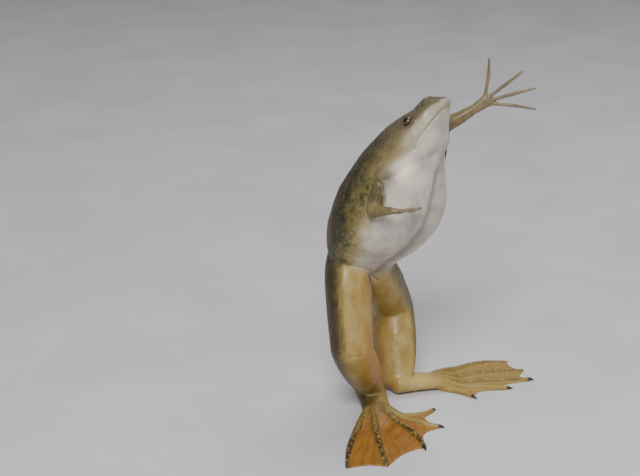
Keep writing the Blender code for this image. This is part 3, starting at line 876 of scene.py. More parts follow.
# %% Slow waves over the whole skin
def waves(points, length, seed, count=14):
    "slow uneven swell with about this length in millimetres"
    rng = np.random.default_rng(seed)
    total = np.zeros(len(points))
    for _ in range(count):
        way = unit(rng.normal(size=3))
        total += np.sin(points @ way * (2 * math.pi / (length * rng.uniform(0.7, 1.5))) + rng.uniform(0, 6.3))
    return total / math.sqrt(count)


move += 0.10 * waves(points, 9, 3) * (out < 3) + 0.035 * waves(points, 2.6, 5)
soft = 1 - 0.8 * ((points[:, 2] < 4) & (out > 1.2))          # the feet move less
points = points + normals * (move * soft)[:, None]
print("deepest fold and highest swell, mm:", move.min().round(2), move.max().round(2))

# %% Web pleats and the flat sole
PLEAT_HIGH, PLEATS, WEB_FROM, WEB_TO = 0.07, 46, 8, 52
for side, sign in SIDES:
    d = points - flat_pair(JOINTS[side]["foot"])
    reach, turn = np.hypot(d[:, 0], d[:, 1]), np.arctan2(d[:, 1], d[:, 0])
    near = (points[:, 2] < 1.1) & (points[:, 2] > 0.25) & (reach > WEB_FROM) & (reach < WEB_TO)
    pleat = np.sin(turn * PLEATS + 0.6 * np.sin(reach * 0.5)) * ease((reach - WEB_FROM) / 8)
    points[:, 2] += near * PLEAT_HIGH * pleat
points[:, 2] = np.maximum(points[:, 2] - 0.02, 0.0)
set_points(skin.data, points)
print("points on the floor:", int((points[:, 2] == 0).sum()))

# %% [markdown]
# ## Thinning the mesh
#
# The wrap has far more faces than flat areas need. Decimating takes them away where the surface
# is flat and leaves them in the folds and the face, until about TRIANGLES triangles are left.
# The result stays under the limit for one piece.

# %% Decimate
TRIANGLES = 186000


def count_triangles(mesh):
    mesh.calc_loop_triangles()
    return len(mesh.loop_triangles)


before = count_triangles(skin.data)
if before > TRIANGLES:
    thin = skin.modifiers.new("thin", "DECIMATE")
    thin.ratio = TRIANGLES / before
    thin.use_collapse_triangulate = True
    skin.data = evaluated(skin)
    skin.modifiers.clear()
points = get_points(skin.data)
points[:, 2] = np.maximum(points[:, 2], 0.0)
set_points(skin.data, points)
skin.data.shade_smooth()
print("triangles", before, "to", count_triangles(skin.data))

# %% [markdown]
# ## Where each colour goes
#
# The frog is olive above and white below, with golden legs, dark toes and amber webs. Such
# markings follow the body, so they are worked out from the body's own directions, from the
# distance to its bones and from the side that a leg's skin faces. They are stored on the mesh as
# named values from 0 to 1. The material reads them and adds the mottling. Most are worked out the
# same way on both sides of the animal, also those that no one sees, but some marks of the legs and
# feet differ from one side to the other.

# %% Storing a value
def store(mesh, name, values):
    attribute = mesh.attributes.get(name) or mesh.attributes.new(name, "FLOAT", "POINT")
    attribute.data.foreach_set("value", np.asarray(values, np.float32))


def share_of(a, b, border):
    "how much a point belongs to the first of two parts, from its distances to both"
    return 1 / (1 + np.exp(np.clip(border * (a - b), -40, 40)))


s, left, back, high, side_way, out = on_body(points)
around = np.degrees(np.arctan2(high, np.abs(side_way)))
print("angle round the body, from", around.min().round(), "to", around.max().round())

# %% Legs, arms and hands
LEG_BORDER, ARM_BORDER, HAND_BORDER = 0.9, 2.6, 0.8    # the larger, the sharper the border
FINGERS_OF_HAND = tuple("finger%d_" % k for k in (1, 2, 3, 4))
LIMBS = (("leg", ("thigh_", "shank_", "tarsus_")), ("arm", ("arm_", "forearm_")),
         ("hand", ("palm_",) + FINGERS_OF_HAND))
wide, deep, _ = body_size(s)
off_trunk = np.maximum((out - 1) * np.sqrt(wide * deep), 0)
off = {}
for side, sign in SIDES:
    for kind, parts in LIMBS:
        away = np.min([off_limb(points, part + side) for part in parts], axis=0)
        off[kind] = np.minimum(off.get(kind, 99.0), np.clip(away, 0, 60))
leg = share_of(off["leg"], off_trunk, LEG_BORDER)
either_arm = np.minimum(off["arm"], off["hand"])
arm = share_of(either_arm, np.minimum(off_trunk, off["leg"]) + 0.5, ARM_BORDER)
hand = arm * share_of(off["hand"], off["arm"], HAND_BORDER)
print("share of points on legs, arms, hands:", [round(float(v.mean()), 3) for v in (leg, arm, hand)])

# %% Feet and toes
FOOT_LONG, FOOT_HIGH = 56, 9
TOE_PALE = (0.75, 0.70, 0.15, 0.0, 0.0)  # how pale each toe is
foot_share, toe, toe_end, inner_toe = (np.zeros(len(points)) for _ in range(4))
for side, sign in SIDES:
    d = points - JOINTS[side]["foot"]
    low = (points[:, 2] < FOOT_HIGH) & (out > 1.3) & (np.hypot(d[:, 0], d[:, 1]) < FOOT_LONG)
    here = ease((d @ foot_ahead(side) + 3) / 8) * low
    foot_share = np.maximum(foot_share, here)
    for k, pale in enumerate(TOE_PALE):
        line = toe_lines[side, k]
        gap, along = nearest_on(points[:, :2], line[:, :2], np.ones(len(line)))
        half_wide = (1.9 - 0.9 * along) * 0.75
        on_toe = here * (1 - ease((gap - half_wide) / 0.7))
        toe = np.maximum(toe, on_toe)
        toe_end = np.maximum(toe_end, on_toe * along)
        inner_toe = np.maximum(inner_toe, on_toe * pale)
leg = np.maximum(leg, foot_share)
for name, values in (("leg", leg), ("arm", arm), ("hand", hand), ("foot", foot_share), ("toe", toe),
                     ("toe_end", toe_end), ("inner_toe", inner_toe),
                     ("pale_foot", foot_share * (points[:, 1] > 27))):
    store(skin.data, name, values)
print("share of points on feet:", round(float(foot_share.mean()), 3))

# %% Back, flank, belly and lip
# upper runs from the belly (0) over the flank (0.4) to the back (1)
lower_flank = 20 * ease((s - 0.50) / 0.25) - 12 * (1 - ease((s - 0.33) / 0.15))
upper = np.clip((around + 38 + lower_flank) / 68, 0, 1)
lip_wide = 1.3 + 2.2 * ease(s / 0.12)
lip = hill((back - mouth_height(s) - 0.75 * lip_wide) / lip_wide, 1.0)
lip = lip * (1 - ease((s - 0.20) / 0.05)) * (out < 1.25)
upper = upper * (1 - 0.6 * lip)
upper = np.where((s < 0.225) & (back < mouth_height(s)), upper * 0.25, upper)
store(skin.data, "upper", upper)
store(skin.data, "lip", lip)
print("share of points on the back:", round(float((upper > 0.8).mean()), 3))

# %% Outer and inner sides of the legs
# outer is dark and faces outward and to the rear, inner is rust and faces the other leg; the dark
# band reaches further round the right leg
LEAST_OUTER = {"right": -0.46, "left": 0.12}
RUST_SHARE = {"right": 1.0, "left": 0.5}
dark, rust = np.zeros(len(points)), np.zeros(len(points))
normals = get_normals(skin.data)
for side, sign in SIDES:
    outer = unit(np.array((0.92 * sign, 0.42, 0.10)))
    inner = unit(np.array((-0.95 * sign, 0.0, -0.10)))
    q = np.min([from_bone(points, part + side)[0] for part in ("thigh_", "shank_", "tarsus_")], axis=0)
    mine = q < 1.6
    dark[mine] = np.maximum(dark[mine], ease((normals[mine] @ outer - LEAST_OUTER[side]) / 0.95))
    low_leg = RUST_SHARE[side] * (0.30 + 0.70 * ease((58 - points[mine, 2]) / 34))
    rust[mine] = np.maximum(rust[mine], ease((normals[mine] @ inner - 0.1) / 0.9) * low_leg)
dark = np.where(foot_share > 0.3, np.maximum(dark * (1 - foot_share), foot_share * 0.2), dark)
store(skin.data, "outer", dark)
store(skin.data, "inner", rust)
print("share of points on the dark band:", round(float((dark > 0.5).mean()), 3))


# %% Ankles, with painted shade at the near one, upper arms and veins of the web
def ankle_spot(side, share, rise, width):
    "a round mark between heel and foot"
    heel, foot = JOINTS[side]["heel"], JOINTS[side]["foot"]
    middle = heel * (1 - share) + foot * share + UP * rise
    return hill(np.linalg.norm(points - middle, axis=1), width)


# the near ankle is darkened: its own dark brown skin, with painted shade on the web where the leg comes down
# onto the foot
store(skin.data, "ankle", 0.62 * ankle_spot("right", 0.75, 2, 10))
store(skin.data, "pale_ankle", ankle_spot("left", 0.5, 0, 9))
arm_top, vein = np.zeros(len(points)), np.zeros(len(points))
for side, sign in SIDES:
    q, t = from_bone(points, "arm_" + side)
    arm_top = np.maximum(arm_top, (q < 1.8) * (1 - ease((t - 0.55) / 0.45)))
    d = points - flat_pair(JOINTS[side]["foot"])
    turn, reach = np.arctan2(d[:, 1], d[:, 0]), np.hypot(d[:, 0], d[:, 1])
    mine = (reach < FOOT_LONG) & (foot_share > 0.1)
    vein[mine] = (0.5 + 0.5 * np.sin(turn * 64 + 0.5 * np.sin(reach * 0.35)))[mine]
store(skin.data, "arm_top", arm_top)
store(skin.data, "vein", vein)
print("share of points on veins:", round(float((vein > 0.5).mean()), 3))

# %% Eyelids
lid, lid_low = np.zeros(len(points)), np.zeros(len(points))
for side, sign in SIDES:
    centre, look = eyes[side]
    d = points - centre
    r = np.linalg.norm(d, axis=1)
    off_look = np.arccos(np.clip(d @ look / np.maximum(r, 1e-6), -1, 1))
    near = r < 5
    lid[near] = np.maximum(lid, 1 - ease((off_look - 1.35) / 0.35))[near]
    below = ease((-(d @ BACK) * 0.85 - (d @ FORE) * 0.4 - 0.5) / 1.6)
    lid_low = np.maximum(lid_low, near * hill(off_look - 1.30, 0.16) * below)
store(skin.data, "lid", lid)
store(skin.data, "lid_low", lid_low)
print("points on the lids:", int((lid > 0.5).sum()))

# %% Head and cheek, with a painted highlight on the chest and painted shade in the armpits and down the belly's valley
# the places of the painted shade in the fold of each armpit
ARMPIT_SHADE_SPOTS = [(0.37, -22), (0.36, -22)]
near_trunk = out < 1.2
store(skin.data, "head", (1 - ease((s - 0.17) / 0.12)) * (out < 1.3))
store(skin.data, "cheek", hill(around + 9, 34) * hill((s - 0.205) * LENGTH, 12) * near_trunk
      * ease((back - mouth_height(s) + 0.1) / 1.4))
# a painted highlight on the chest, where the wet skin catches the lamp
store(skin.data, "chest_highlight", hill(np.abs(around + 34), 14) * hill((s - 0.31) * LENGTH, 7) * near_trunk)
# painted shade in the fold of each armpit
store(skin.data, "armpit_shade", sum(hill(np.linalg.norm(points - line_on_body(sign, ARMPIT_SHADE_SPOTS)[0], axis=1), 5)
                               for side, sign in SIDES))
# painted shade down the belly's shallow valley, a little left of its middle
store(skin.data, "valley_shade", hill(left - VALLEY_LEFT, 3.2) * ease((s - 0.2) / 0.1)
      * (1 - ease((s - 0.85) / 0.1)) * (high < 0) * near_trunk)
print("stored values:", sum(a.data_type == "FLOAT" for a in skin.data.attributes))

# %% [markdown]
# ## The skin's finish
#
# Clawed frog skin is smooth, thin and covered in slime: a soft colour with a clear wet coat over
# it. The nodes below mix from the stored values: first the trunk's belly, flank and back, then
# the legs, then feet, arms and hands. Noise breaks most borders, because few markings on a frog
# have a clean edge. A very fine bump gives the coat something to catch on.

# %% Mixing a finish
def srgb(*shown):
    "a colour given as on a screen, 0 to 255, as the material wants it"
    return tuple(((c / 255 + 0.055) / 1.055) ** 2.4 if c > 10 else c / 255 / 12.92 for c in shown) + (1.0,)


class Dye:
    "a short way to write a material's nodes; every value may be a number or another node's output"

    def __init__(self, name, roughness):
        self.mat = bpy.data.materials.new(name)
        self.mat.use_nodes = True
        self.nodes, self.links = self.mat.node_tree.nodes, self.mat.node_tree.links
        self.sockets = self.nodes["Principled BSDF"].inputs
        self.where = self.nodes.new("ShaderNodeTexCoord").outputs["Object"]
        self.set("Roughness", roughness)

    def put(self, value, socket):
        if hasattr(value, "links"):
            self.links.new(value, socket)
        else:
            socket.default_value = value

    def set(self, socket, value):
        self.put(value, self.sockets[socket])

    def coat(self, weight, roughness=None):
        self.set("Coat Weight", weight)
        if roughness is not None:
            self.set("Coat Roughness", roughness)

    def stored(self, name):
        node = self.nodes.new("ShaderNodeAttribute")
        node.attribute_name = name
        return node.outputs["Fac"]

    def sum(self, kind, a, b, clamp=True):
        node = self.nodes.new("ShaderNodeMath")
        node.operation = kind
        node.use_clamp = clamp
        self.put(a, node.inputs[0])
        self.put(b, node.inputs[1])
        return node.outputs[0]

    def times(self, a, b):
        return self.sum("MULTIPLY", a, b)

    def part(self, name, share):
        "a stored value times a share"
        return self.times(self.stored(name), share)

    def between(self, value, low, high, new_low=0.0, new_high=1.0):
        node = self.nodes.new("ShaderNodeMapRange")
        node.interpolation_type = "SMOOTHSTEP"
        for socket, v in zip(("Value", "From Min", "From Max", "To Min", "To Max"),
                             (value, low, high, new_low, new_high)):
            self.put(v, node.inputs[socket])
        return node.outputs["Result"]

    def ragged(self, value, noise, amount):
        "a value whose border wanders with a noise, by up to this amount each way"
        return self.sum("ADD", value, self.between(noise, 0.3, 0.7, -amount, amount), False)

    def mix(self, share, a, b):
        node = self.nodes.new("ShaderNodeMix")
        node.data_type = "RGBA"
        self.put(share, node.inputs[0])
        self.put(a, node.inputs[6])
        self.put(b, node.inputs[7])
        return node.outputs[2]

    def noise(self, size, detail=3.0, rough=0.5, stretch=None):
        "uneven spots of about this size in millimetres"
        node = self.nodes.new("ShaderNodeTexNoise")
        node.inputs["Scale"].default_value = 1 / (size * MM)
        node.inputs["Detail"].default_value = detail
        node.inputs["Roughness"].default_value = rough
        where = self.where
        if stretch:
            mapping = self.nodes.new("ShaderNodeMapping")
            mapping.inputs["Scale"].default_value = stretch
            self.links.new(where, mapping.inputs["Vector"])
            where = mapping.outputs["Vector"]
        self.links.new(where, node.inputs["Vector"])
        return node.outputs["Fac"]

    def cells(self, size):
        node = self.nodes.new("ShaderNodeTexVoronoi")
        node.inputs["Scale"].default_value = 1 / (size * MM)
        self.links.new(self.where, node.inputs["Vector"])
        return node.outputs["Distance"]

    def bump(self, height, strength, distance, below=None):
        node = self.nodes.new("ShaderNodeBump")
        node.inputs["Strength"].default_value = strength
        node.inputs["Distance"].default_value = distance * MM
        self.put(height, node.inputs["Height"])
        if below is not None:
            self.links.new(below, node.inputs["Normal"])
        return node.outputs["Normal"]


print("mid grey:", [round(c, 3) for c in srgb(128, 128, 128)])

# %% [markdown]
# ## Trunk, head and their marks
#
# From belly to back the colour goes from cream through a pale olive flank to dark olive. Speckles
# lie over the upper side only. The cheek, lips and lids then get their own tone, the chest a painted
# highlight, and the armpits and the belly's valley painted shade, each laid over what is there by
# its stored value, as thin washes of paint would be.

# %% Trunk colours
# the third belly colour is painted shade for the belly's valley
BELLY_WHITE, BELLY_LILAC, PAINTED_VALLEY_SHADE = srgb(190, 182, 170), srgb(156, 149, 144), srgb(100, 98, 90)
FLANK_OLIVE, FLANK_PALE = srgb(98, 90, 50), srgb(146, 134, 92)
BACK_OLIVE, BACK_DARK = srgb(60, 55, 36), srgb(41, 37, 25)
HEAD_OLIVE, LIP_CREAM = srgb(84, 80, 57), srgb(150, 143, 122)
LID_GREY, LID_RUST = srgb(78, 74, 60), srgb(120, 72, 44)
# the pale chest colour is a painted highlight, and the brown of the armpits is painted shade
CHEEK_TAN, CHEST_HIGHLIGHT, PIT_SHADE = srgb(124, 109, 78), srgb(246, 234, 214), srgb(66, 58, 40)
LEG_PALE = srgb(159, 141, 86)
# washes over the trunk and head; the chest's is a painted highlight and the armpits' is painted shade
WASHES = (("cheek", 0.85, CHEEK_TAN), ("chest_highlight", 0.90, CHEST_HIGHLIGHT), ("armpit_shade", 0.80, PIT_SHADE),
          ("lip", 0.90, LIP_CREAM), ("lid", 0.70, LID_GREY), ("lid_low", 0.55, LID_RUST))


def trunk_colours(dye, blotch, mottle, fleck):
    "the whole trunk and head, and the mottled flank and back by themselves"
    upper = dye.ragged(dye.ragged(dye.stored("upper"), mottle, 0.05), blotch, 0.05)
    belly = dye.mix(dye.between(blotch, 0.35, 0.7), BELLY_WHITE, BELLY_LILAC)
    # painted shade in the belly's valley
    belly = dye.mix(dye.part("valley_shade", 0.55), belly, PAINTED_VALLEY_SHADE)
    back = dye.mix(dye.between(mottle, 0.38, 0.66), BACK_OLIVE, BACK_DARK)
    flank = dye.mix(dye.between(mottle, 0.40, 0.70), FLANK_OLIVE, BACK_OLIVE)
    colour = dye.mix(dye.between(upper, 0.0, 0.30), belly, FLANK_PALE)
    colour = dye.mix(dye.between(upper, 0.20, 0.48), colour, flank)
    colour = dye.mix(dye.between(upper, 0.42, 0.82), colour, back)
    head = dye.mix(dye.between(mottle, 0.45, 0.75), HEAD_OLIVE, BACK_OLIVE)
    colour = dye.mix(dye.part("head", dye.between(upper, 0.12, 0.50)), colour, head)
    speckle = dye.times(dye.between(fleck, 0.54, 0.68), dye.between(upper, 0.20, 0.45))
    colour = dye.mix(dye.times(speckle, 0.38), colour, BACK_DARK)
    pale_fleck = dye.times(dye.between(dye.noise(1.5, 2, 0.5), 0.56, 0.70), dye.between(upper, 0.10, 0.4))
    colour = dye.mix(dye.times(pale_fleck, 0.16), colour, LEG_PALE)
    for name, share, tone in WASHES:
        colour = dye.mix(dye.part(name, share), colour, tone)
    return colour, flank, back


print("washes over the trunk:", len(WASHES))

# %% [markdown]
# ## Legs, feet, arms and hands
#
# A leg is golden with pale streaks, rust on its inner side and dark olive on its outer side. The
# web is amber with fine darker veins, the toes are spotted dark toward their tips, and the arms
# are tan. Each colour is made by itself and laid on where the stored value says the limb is.

# %% Limb colours
LEG_GOLD, LEG_RUST, LEG_DARK = srgb(140, 112, 50), srgb(162, 106, 42), srgb(62, 50, 28)
LEG_OLIVE, LEG_EDGE, ANKLE_PALE = srgb(100, 87, 48), srgb(60, 50, 30), srgb(188, 163, 98)
WEB_AMBER, WEB_DEEP = srgb(148, 102, 38), srgb(108, 68, 24)
TOE_GOLD, TOE_DARK = srgb(150, 127, 66), srgb(40, 31, 15)
ARM_TAN, ARM_BROWN = srgb(118, 101, 66), srgb(84, 73, 46)
HAND_TAN, HAND_PALE = srgb(106, 94, 70), srgb(124, 112, 88)


def leg_colours(dye, mottle, fleck, back):
    streaks = dye.noise(7, 3, 0.5, (1.2, 1.2, 0.6))
    legs = dye.mix(dye.between(streaks, 0.30, 0.72), LEG_GOLD, LEG_PALE)
    legs = dye.mix(dye.part("inner", 0.80), legs, LEG_RUST)
    outer = dye.ragged(dye.stored("outer"), mottle, 0.07)
    legs = dye.mix(dye.between(outer, 0.10, 0.70), legs, LEG_OLIVE)
    legs = dye.mix(dye.between(outer, 0.50, 1.0), legs, dye.mix(0.35, LEG_EDGE, back))
    legs = dye.mix(dye.part("pale_ankle", 0.75), legs, ANKLE_PALE)
    # the near ankle's dark mottled skin, deepened by painted shade where the leg meets the foot
    legs = dye.mix(dye.part("ankle", dye.between(mottle, 0.30, 0.65, 0.35, 1.0)), legs, LEG_DARK)
    return dye.mix(dye.times(dye.between(fleck, 0.58, 0.72), 0.40), legs, LEG_DARK)


def foot_colours(dye):
    web = dye.mix(dye.between(dye.noise(8, 3, 0.5), 0.30, 0.80, 0.0, 0.6), WEB_AMBER, WEB_DEEP)
    web = dye.mix(dye.times(dye.between(dye.stored("vein"), 0.55, 0.98), 0.45), web, WEB_DEEP)
    web = dye.mix(dye.part("pale_foot", 0.72), web, TOE_GOLD)
    spots = dye.between(dye.noise(1.5, 3, 0.6), 0.30, 0.58)
    spots = dye.times(spots, dye.between(dye.stored("toe_end"), 0.02, 0.55, 0.55, 1.0))
    spots = dye.times(spots, dye.between(dye.stored("pale_foot"), 0.0, 1.0, 1.0, 0.60))
    spots = dye.times(spots, dye.between(dye.stored("inner_toe"), 0.0, 1.0, 1.0, 0.0))
    foot = dye.mix(dye.stored("toe"), web, dye.mix(spots, TOE_GOLD, TOE_DARK))
    # painted shade on the near foot's web below the ankle
    return dye.mix(dye.part("ankle", 0.9), foot, LEG_DARK)


def arm_colours(dye, mottle, flank, back):
    arms = dye.mix(dye.between(mottle, 0.40, 0.75), ARM_TAN, ARM_BROWN)
    return dye.mix(dye.part("arm_top", 0.9), arms, dye.mix(0.45, flank, back))


def hand_colours(dye, blotch):
    return dye.mix(dye.between(blotch, 0.4, 0.6), HAND_TAN, HAND_PALE)


print("a dark toe next to a golden one:", [round(a / b, 2) for a, b in zip(TOE_DARK, TOE_GOLD)][:3])

# %% Wet frog skin
PORE, WRINKLE = 0.55, 1.4     # their sizes in millimetres


def frog_skin():
    dye = Dye("wet_frog_skin", 0.36)
    blotch, mottle, fleck = dye.noise(9, 4, 0.6), dye.noise(3.2, 4, 0.62), dye.noise(0.9, 3, 0.6)
    colour, flank, back = trunk_colours(dye, blotch, mottle, fleck)
    for name, tone in (("leg", leg_colours(dye, mottle, fleck, back)), ("foot", foot_colours(dye)),
                       ("arm", arm_colours(dye, mottle, flank, back)), ("hand", hand_colours(dye, blotch))):
        colour = dye.mix(dye.stored(name), colour, tone)
    dye.set("Base Color", colour)
    dye.set("Roughness", dye.between(dye.noise(2.0, 3), 0.3, 0.7, 0.40, 0.56))
    pores = dye.bump(dye.cells(PORE), 0.10, 0.10)
    dye.set("Normal", dye.bump(dye.noise(WRINKLE, 4, 0.6), 0.22, 0.16, pores))
    dye.set("Subsurface Weight", 0.15)
    dye.set("Subsurface Radius", (1.0, 0.5, 0.25))
    dye.set("Subsurface Scale", 1.4 * MM)
    dye.set("Specular IOR Level", 0.30)
    dye.coat(0.16, 0.24)
    return dye.mat


skin_material = frog_skin()
skin.data.materials.clear()
skin.data.materials.append(skin_material)
print("skin material:", len(skin_material.node_tree.nodes), "nodes")


# %% Change the skin to metres and put it in place
def to_metres(points):
    return (points - ORIGIN) * MM


set_points(skin.data, to_metres(get_points(skin.data)))
FLESH = [n for n in frame["nodes"] if not n.startswith(("eye", "claw"))]
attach(skin, "root")
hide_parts(*FLESH)
print("one skin stands for", len(FLESH), "solids")

# %% [markdown]
# ## Eyes
#
# The frog's eye is a small wet globe: a round black pupil in a dark, gold-flecked iris, and a
# clear front that bulges a little. Painting it needs only the distance from the middle of the
# pupil, so that distance is stored on the globe. A clear coat on the surface stands for the
# cornea, which is simpler and shows as well as a separate glass shell at this size.

# %% Eye material
PUPIL_BLACK, PUPIL_RIM = srgb(14, 13, 14), srgb(120, 84, 48)
IRIS_DARK, IRIS_GOLD, IRIS_EDGE, EYE_RIM = (srgb(54, 44, 30), srgb(104, 76, 42), srgb(34, 28, 22),
                                              srgb(84, 76, 60))


def eye_material():
    "rings of colour by the distance from the pupil's middle, in millimetres"
    dye = Dye("frog_eye", 0.42)
    out = dye.stored("from_pupil")
    ragged = dye.ragged(out, dye.noise(0.5, 3), 0.08)
    iris = dye.mix(dye.between(dye.noise(0.35, 4, 0.7), 0.45, 0.62), IRIS_DARK, IRIS_GOLD)
    iris = dye.mix(dye.between(out, 1.55, 2.05), iris, IRIS_EDGE)
    colour = dye.mix(dye.between(ragged, 1.22, 1.30), PUPIL_BLACK, PUPIL_RIM)
    colour = dye.mix(dye.between(ragged, 1.32, 1.48), colour, iris)
    dye.set("Base Color", dye.mix(dye.between(out, 2.15, 2.35), colour, EYE_RIM))
    dye.set("Specular IOR Level", 0.3)
    dye.coat(0.22, 0.12)
    return dye.mat


eye_finish = eye_material()
print("eye material:", len(eye_finish.node_tree.nodes), "nodes")

# %% Eyeballs
GLOBE_RINGS, GLOBE_POINTS = 30, 40
GLOBE_R, CORNEA = EYE_R - 0.03, 0.10
for side, sign in SIDES:
    centre, look = eyes[side]
    u = unit(np.cross(look, UP))
    v = np.cross(look, u)
    rings, far = [], []
    for k in range(1, GLOBE_RINGS):
        a = math.pi * k / GLOBE_RINGS
        r = GLOBE_R + CORNEA * hill(a, 0.6)
        wide = r * math.sin(a)
        rings.append(ring(centre + look * (r * math.cos(a)), u, v, wide, wide, GLOBE_POINTS))
        far += [wide if a < math.pi / 2 else EYE_R] * GLOBE_POINTS
    clay.clear()
    loft(rings, centre + look * (GLOBE_R + CORNEA), centre - look * GLOBE_R)
    globe_points, globe_faces = clay[0]
    eye = link("eyeball_" + side, make_mesh("eyeball_" + side, to_metres(globe_points), globe_faces))
    bm = bmesh.new()
    bm.from_mesh(eye.data)
    bmesh.ops.recalc_face_normals(bm, faces=bm.faces)
    bm.to_mesh(eye.data)
    bm.free()
    store(eye.data, "from_pupil", far + [0.0, EYE_R])
    eye.data.shade_smooth()
    eye.data.materials.append(eye_finish)
    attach(eye, "root")
    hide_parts("eye_" + side)
print("eyes look along", {k: v[1].round(2).tolist() for k, v in eyes.items()})

# %% [markdown]
# ## Geometry Nodes: a workshop for repeated parts
#
# Claws, sense organs and skin grains repeat, and each follows a line or the skin. Geometry
# Nodes suit that: the recipe is written once, with its sizes as named inputs, and every copy
# comes out of it. The helpers here make a tree, join its nodes and turn its result into a plain
# mesh.

# %% Tree helpers
def new_tree(name, **inputs):
    tree = bpy.data.node_groups.new(name, "GeometryNodeTree")
    tree.interface.new_socket("Geometry", in_out="INPUT", socket_type="NodeSocketGeometry")
    tree.interface.new_socket("Geometry", in_out="OUTPUT", socket_type="NodeSocketGeometry")
    for label, kind in inputs.items():
        tree.interface.new_socket(label, in_out="INPUT", socket_type="NodeSocket" + kind)
    return tree, tree.nodes.new("NodeGroupInput").outputs, tree.nodes.new("NodeGroupOutput")


def add_node(tree, kind, links=(), **settings):
    "a node with its settings, and (input, value or other output) pairs"
    node = tree.nodes.new(kind)
    for key, value in settings.items():
        setattr(node, key, value)
    for socket, value in links:
        target = node.inputs[socket]
        if hasattr(value, "links"):
            tree.links.new(value, target)
        else:
            target.default_value = value
    return node.outputs


def calculate(tree, operation, *values):
    return add_node(tree, "ShaderNodeMath", list(enumerate(values)), operation=operation)[0]


def end_tree(tree, shape, material, result):
    "makes every copy real and gives it its material"
    real = add_node(tree, "GeometryNodeRealizeInstances", [("Geometry", shape)])
    final = add_node(tree, "GeometryNodeSetMaterial", [("Geometry", real["Geometry"]),
                                                       ("Material", material)])
    tree.links.new(final["Geometry"], result.inputs["Geometry"])


def grow(tree, carrier, name, values):
    "runs a tree on a carrier and returns the plain mesh object that comes out"
    mod = carrier.modifiers.new("recipe", "NODES")
    mod.node_group = tree
    for item in tree.interface.items_tree:
        if item.item_type == "SOCKET" and item.in_out == "INPUT" and item.name in values:
            mod[item.identifier] = values[item.name]
    piece = link(name, evaluated(carrier))
    carrier.modifiers.clear()
    piece.data.shade_smooth()
    return piece


def wire(name, lines, tones=None):
    "a carrier made of lines of points in metres; each line may carry a tone"
    points, edges = [], []
    for line in lines:
        first = len(points)
        points += [tuple(p) for p in line]
        edges += [(first + i, first + i + 1) for i in range(len(line) - 1)]
    mesh = bpy.data.meshes.new(name)
    mesh.from_pydata(points, edges, [])
    if tones:
        store(mesh, "on_back", [tone for line, tone in zip(lines, tones) for _ in line])
    return link(name, mesh)


print("claws to make:", len(claw_places))

# %% [markdown]
# ## Claws
#
# The three inner toes of each hind foot end in a short black horn claw, which gives the frog its
# name. A claw is a cone bent along a line: round at its root, sharp at its tip, with faint rings
# of growth. The tree sweeps a circle along the line and lets its radius fall toward the tip.

# %% Horn
HORN_BLACK, HORN_BROWN = srgb(16, 13, 11), srgb(44, 34, 26)


def horn_material():
    dye = Dye("claw_horn", 0.30)
    rings = dye.noise(0.5, 3, 0.6)
    dye.set("Base Color", dye.mix(dye.between(rings, 0.4, 0.65), HORN_BLACK, HORN_BROWN))
    dye.set("Roughness", dye.between(rings, 0.3, 0.7, 0.22, 0.42))
    dye.set("Normal", dye.bump(rings, 0.3, 0.08))
    dye.coat(0.3)
    return dye.mat


horn = horn_material()
print("horn material:", len(horn.node_tree.nodes), "nodes")


# %% Claw tree
def claw_recipe():
    tree, given, result = new_tree("claw", root_radius="Float", tip_radius="Float", ring_height="Float",
                                   material="Material")
    line = add_node(tree, "GeometryNodeMeshToCurve", [("Mesh", given["Geometry"])])
    line = add_node(tree, "GeometryNodeResampleCurve", [("Curve", line["Curve"]), ("Count", 28)])
    along = add_node(tree, "GeometryNodeSplineParameter")["Factor"]
    taper = add_node(tree, "ShaderNodeMapRange", [("Value", calculate(tree, "POWER", along, 1.35)),
                                                  ("To Min", given["root_radius"]),
                                                  ("To Max", given["tip_radius"])])
    beat = calculate(tree, "SINE", calculate(tree, "MULTIPLY", along, 44.0))
    size = calculate(tree, "MULTIPLY_ADD", beat, given["ring_height"], taper["Result"])
    circle = add_node(tree, "GeometryNodeCurvePrimitiveCircle", [("Resolution", 20), ("Radius", 1.0)])
    sweep = add_node(tree, "GeometryNodeCurveToMesh", [("Curve", line["Curve"]),
                                                       ("Profile Curve", circle["Curve"]),
                                                       ("Scale", size), ("Fill Caps", True)])
    end_tree(tree, sweep["Mesh"], given["material"], result)
    return tree


claw_tree = claw_recipe()
print("claw recipe:", len(claw_tree.nodes), "nodes")

# %% Claws
CLAW_SIZES = {"root_radius": 0.86 * MM, "tip_radius": 0.14 * MM, "ring_height": 0.02 * MM, "material": horn}
ROOT_HIGH, TIP_HIGH, BOW = 1.0, 0.32, 0.35
for (side, k), (stop, way, tip) in claw_places.items():
    root = np.array((stop[0], stop[1], ROOT_HIGH))
    end = np.array((tip[0], tip[1], TIP_HIGH))
    bow = (root + end) / 2 + UP * BOW
    steps = np.linspace(0, 1, 12)[:, None]
    path = (root - way * 0.3) * (1 - steps) ** 2 + bow * 2 * steps * (1 - steps) + end * steps ** 2
    carrier = wire("claw_line", [to_metres(path)])
    name = "claw_%s_%s" % (side, ("first", "second", "third")[k])
    claw = grow(claw_tree, carrier, "horn_" + name, CLAW_SIZES)
    bpy.data.objects.remove(carrier, do_unlink=True)
    above_floor = get_points(claw.data)
    above_floor[:, 2] = np.maximum(above_floor[:, 2], 0.0)
    set_points(claw.data, above_floor)
    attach(claw, "root")
    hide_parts(name)
print("claws:", len(claw_places), "each", count_triangles(claw.data), "triangles")

# %% [markdown]
# ## The stitched look
#
# Clawed frogs carry rows of tiny sense organs that feel the water move. They look like pale
# stitches sewn along the flanks, round the eyes and under the jaw. Each row is a line near the
# skin; the tree walks along it, finds the nearest skin, and lays a small rounded bar there,
# across the line.

# %% Stitch material
STITCH_OLIVE, STITCH_DARK, STITCH_PALE = srgb(140, 128, 84), srgb(112, 100, 60), srgb(176, 170, 160)


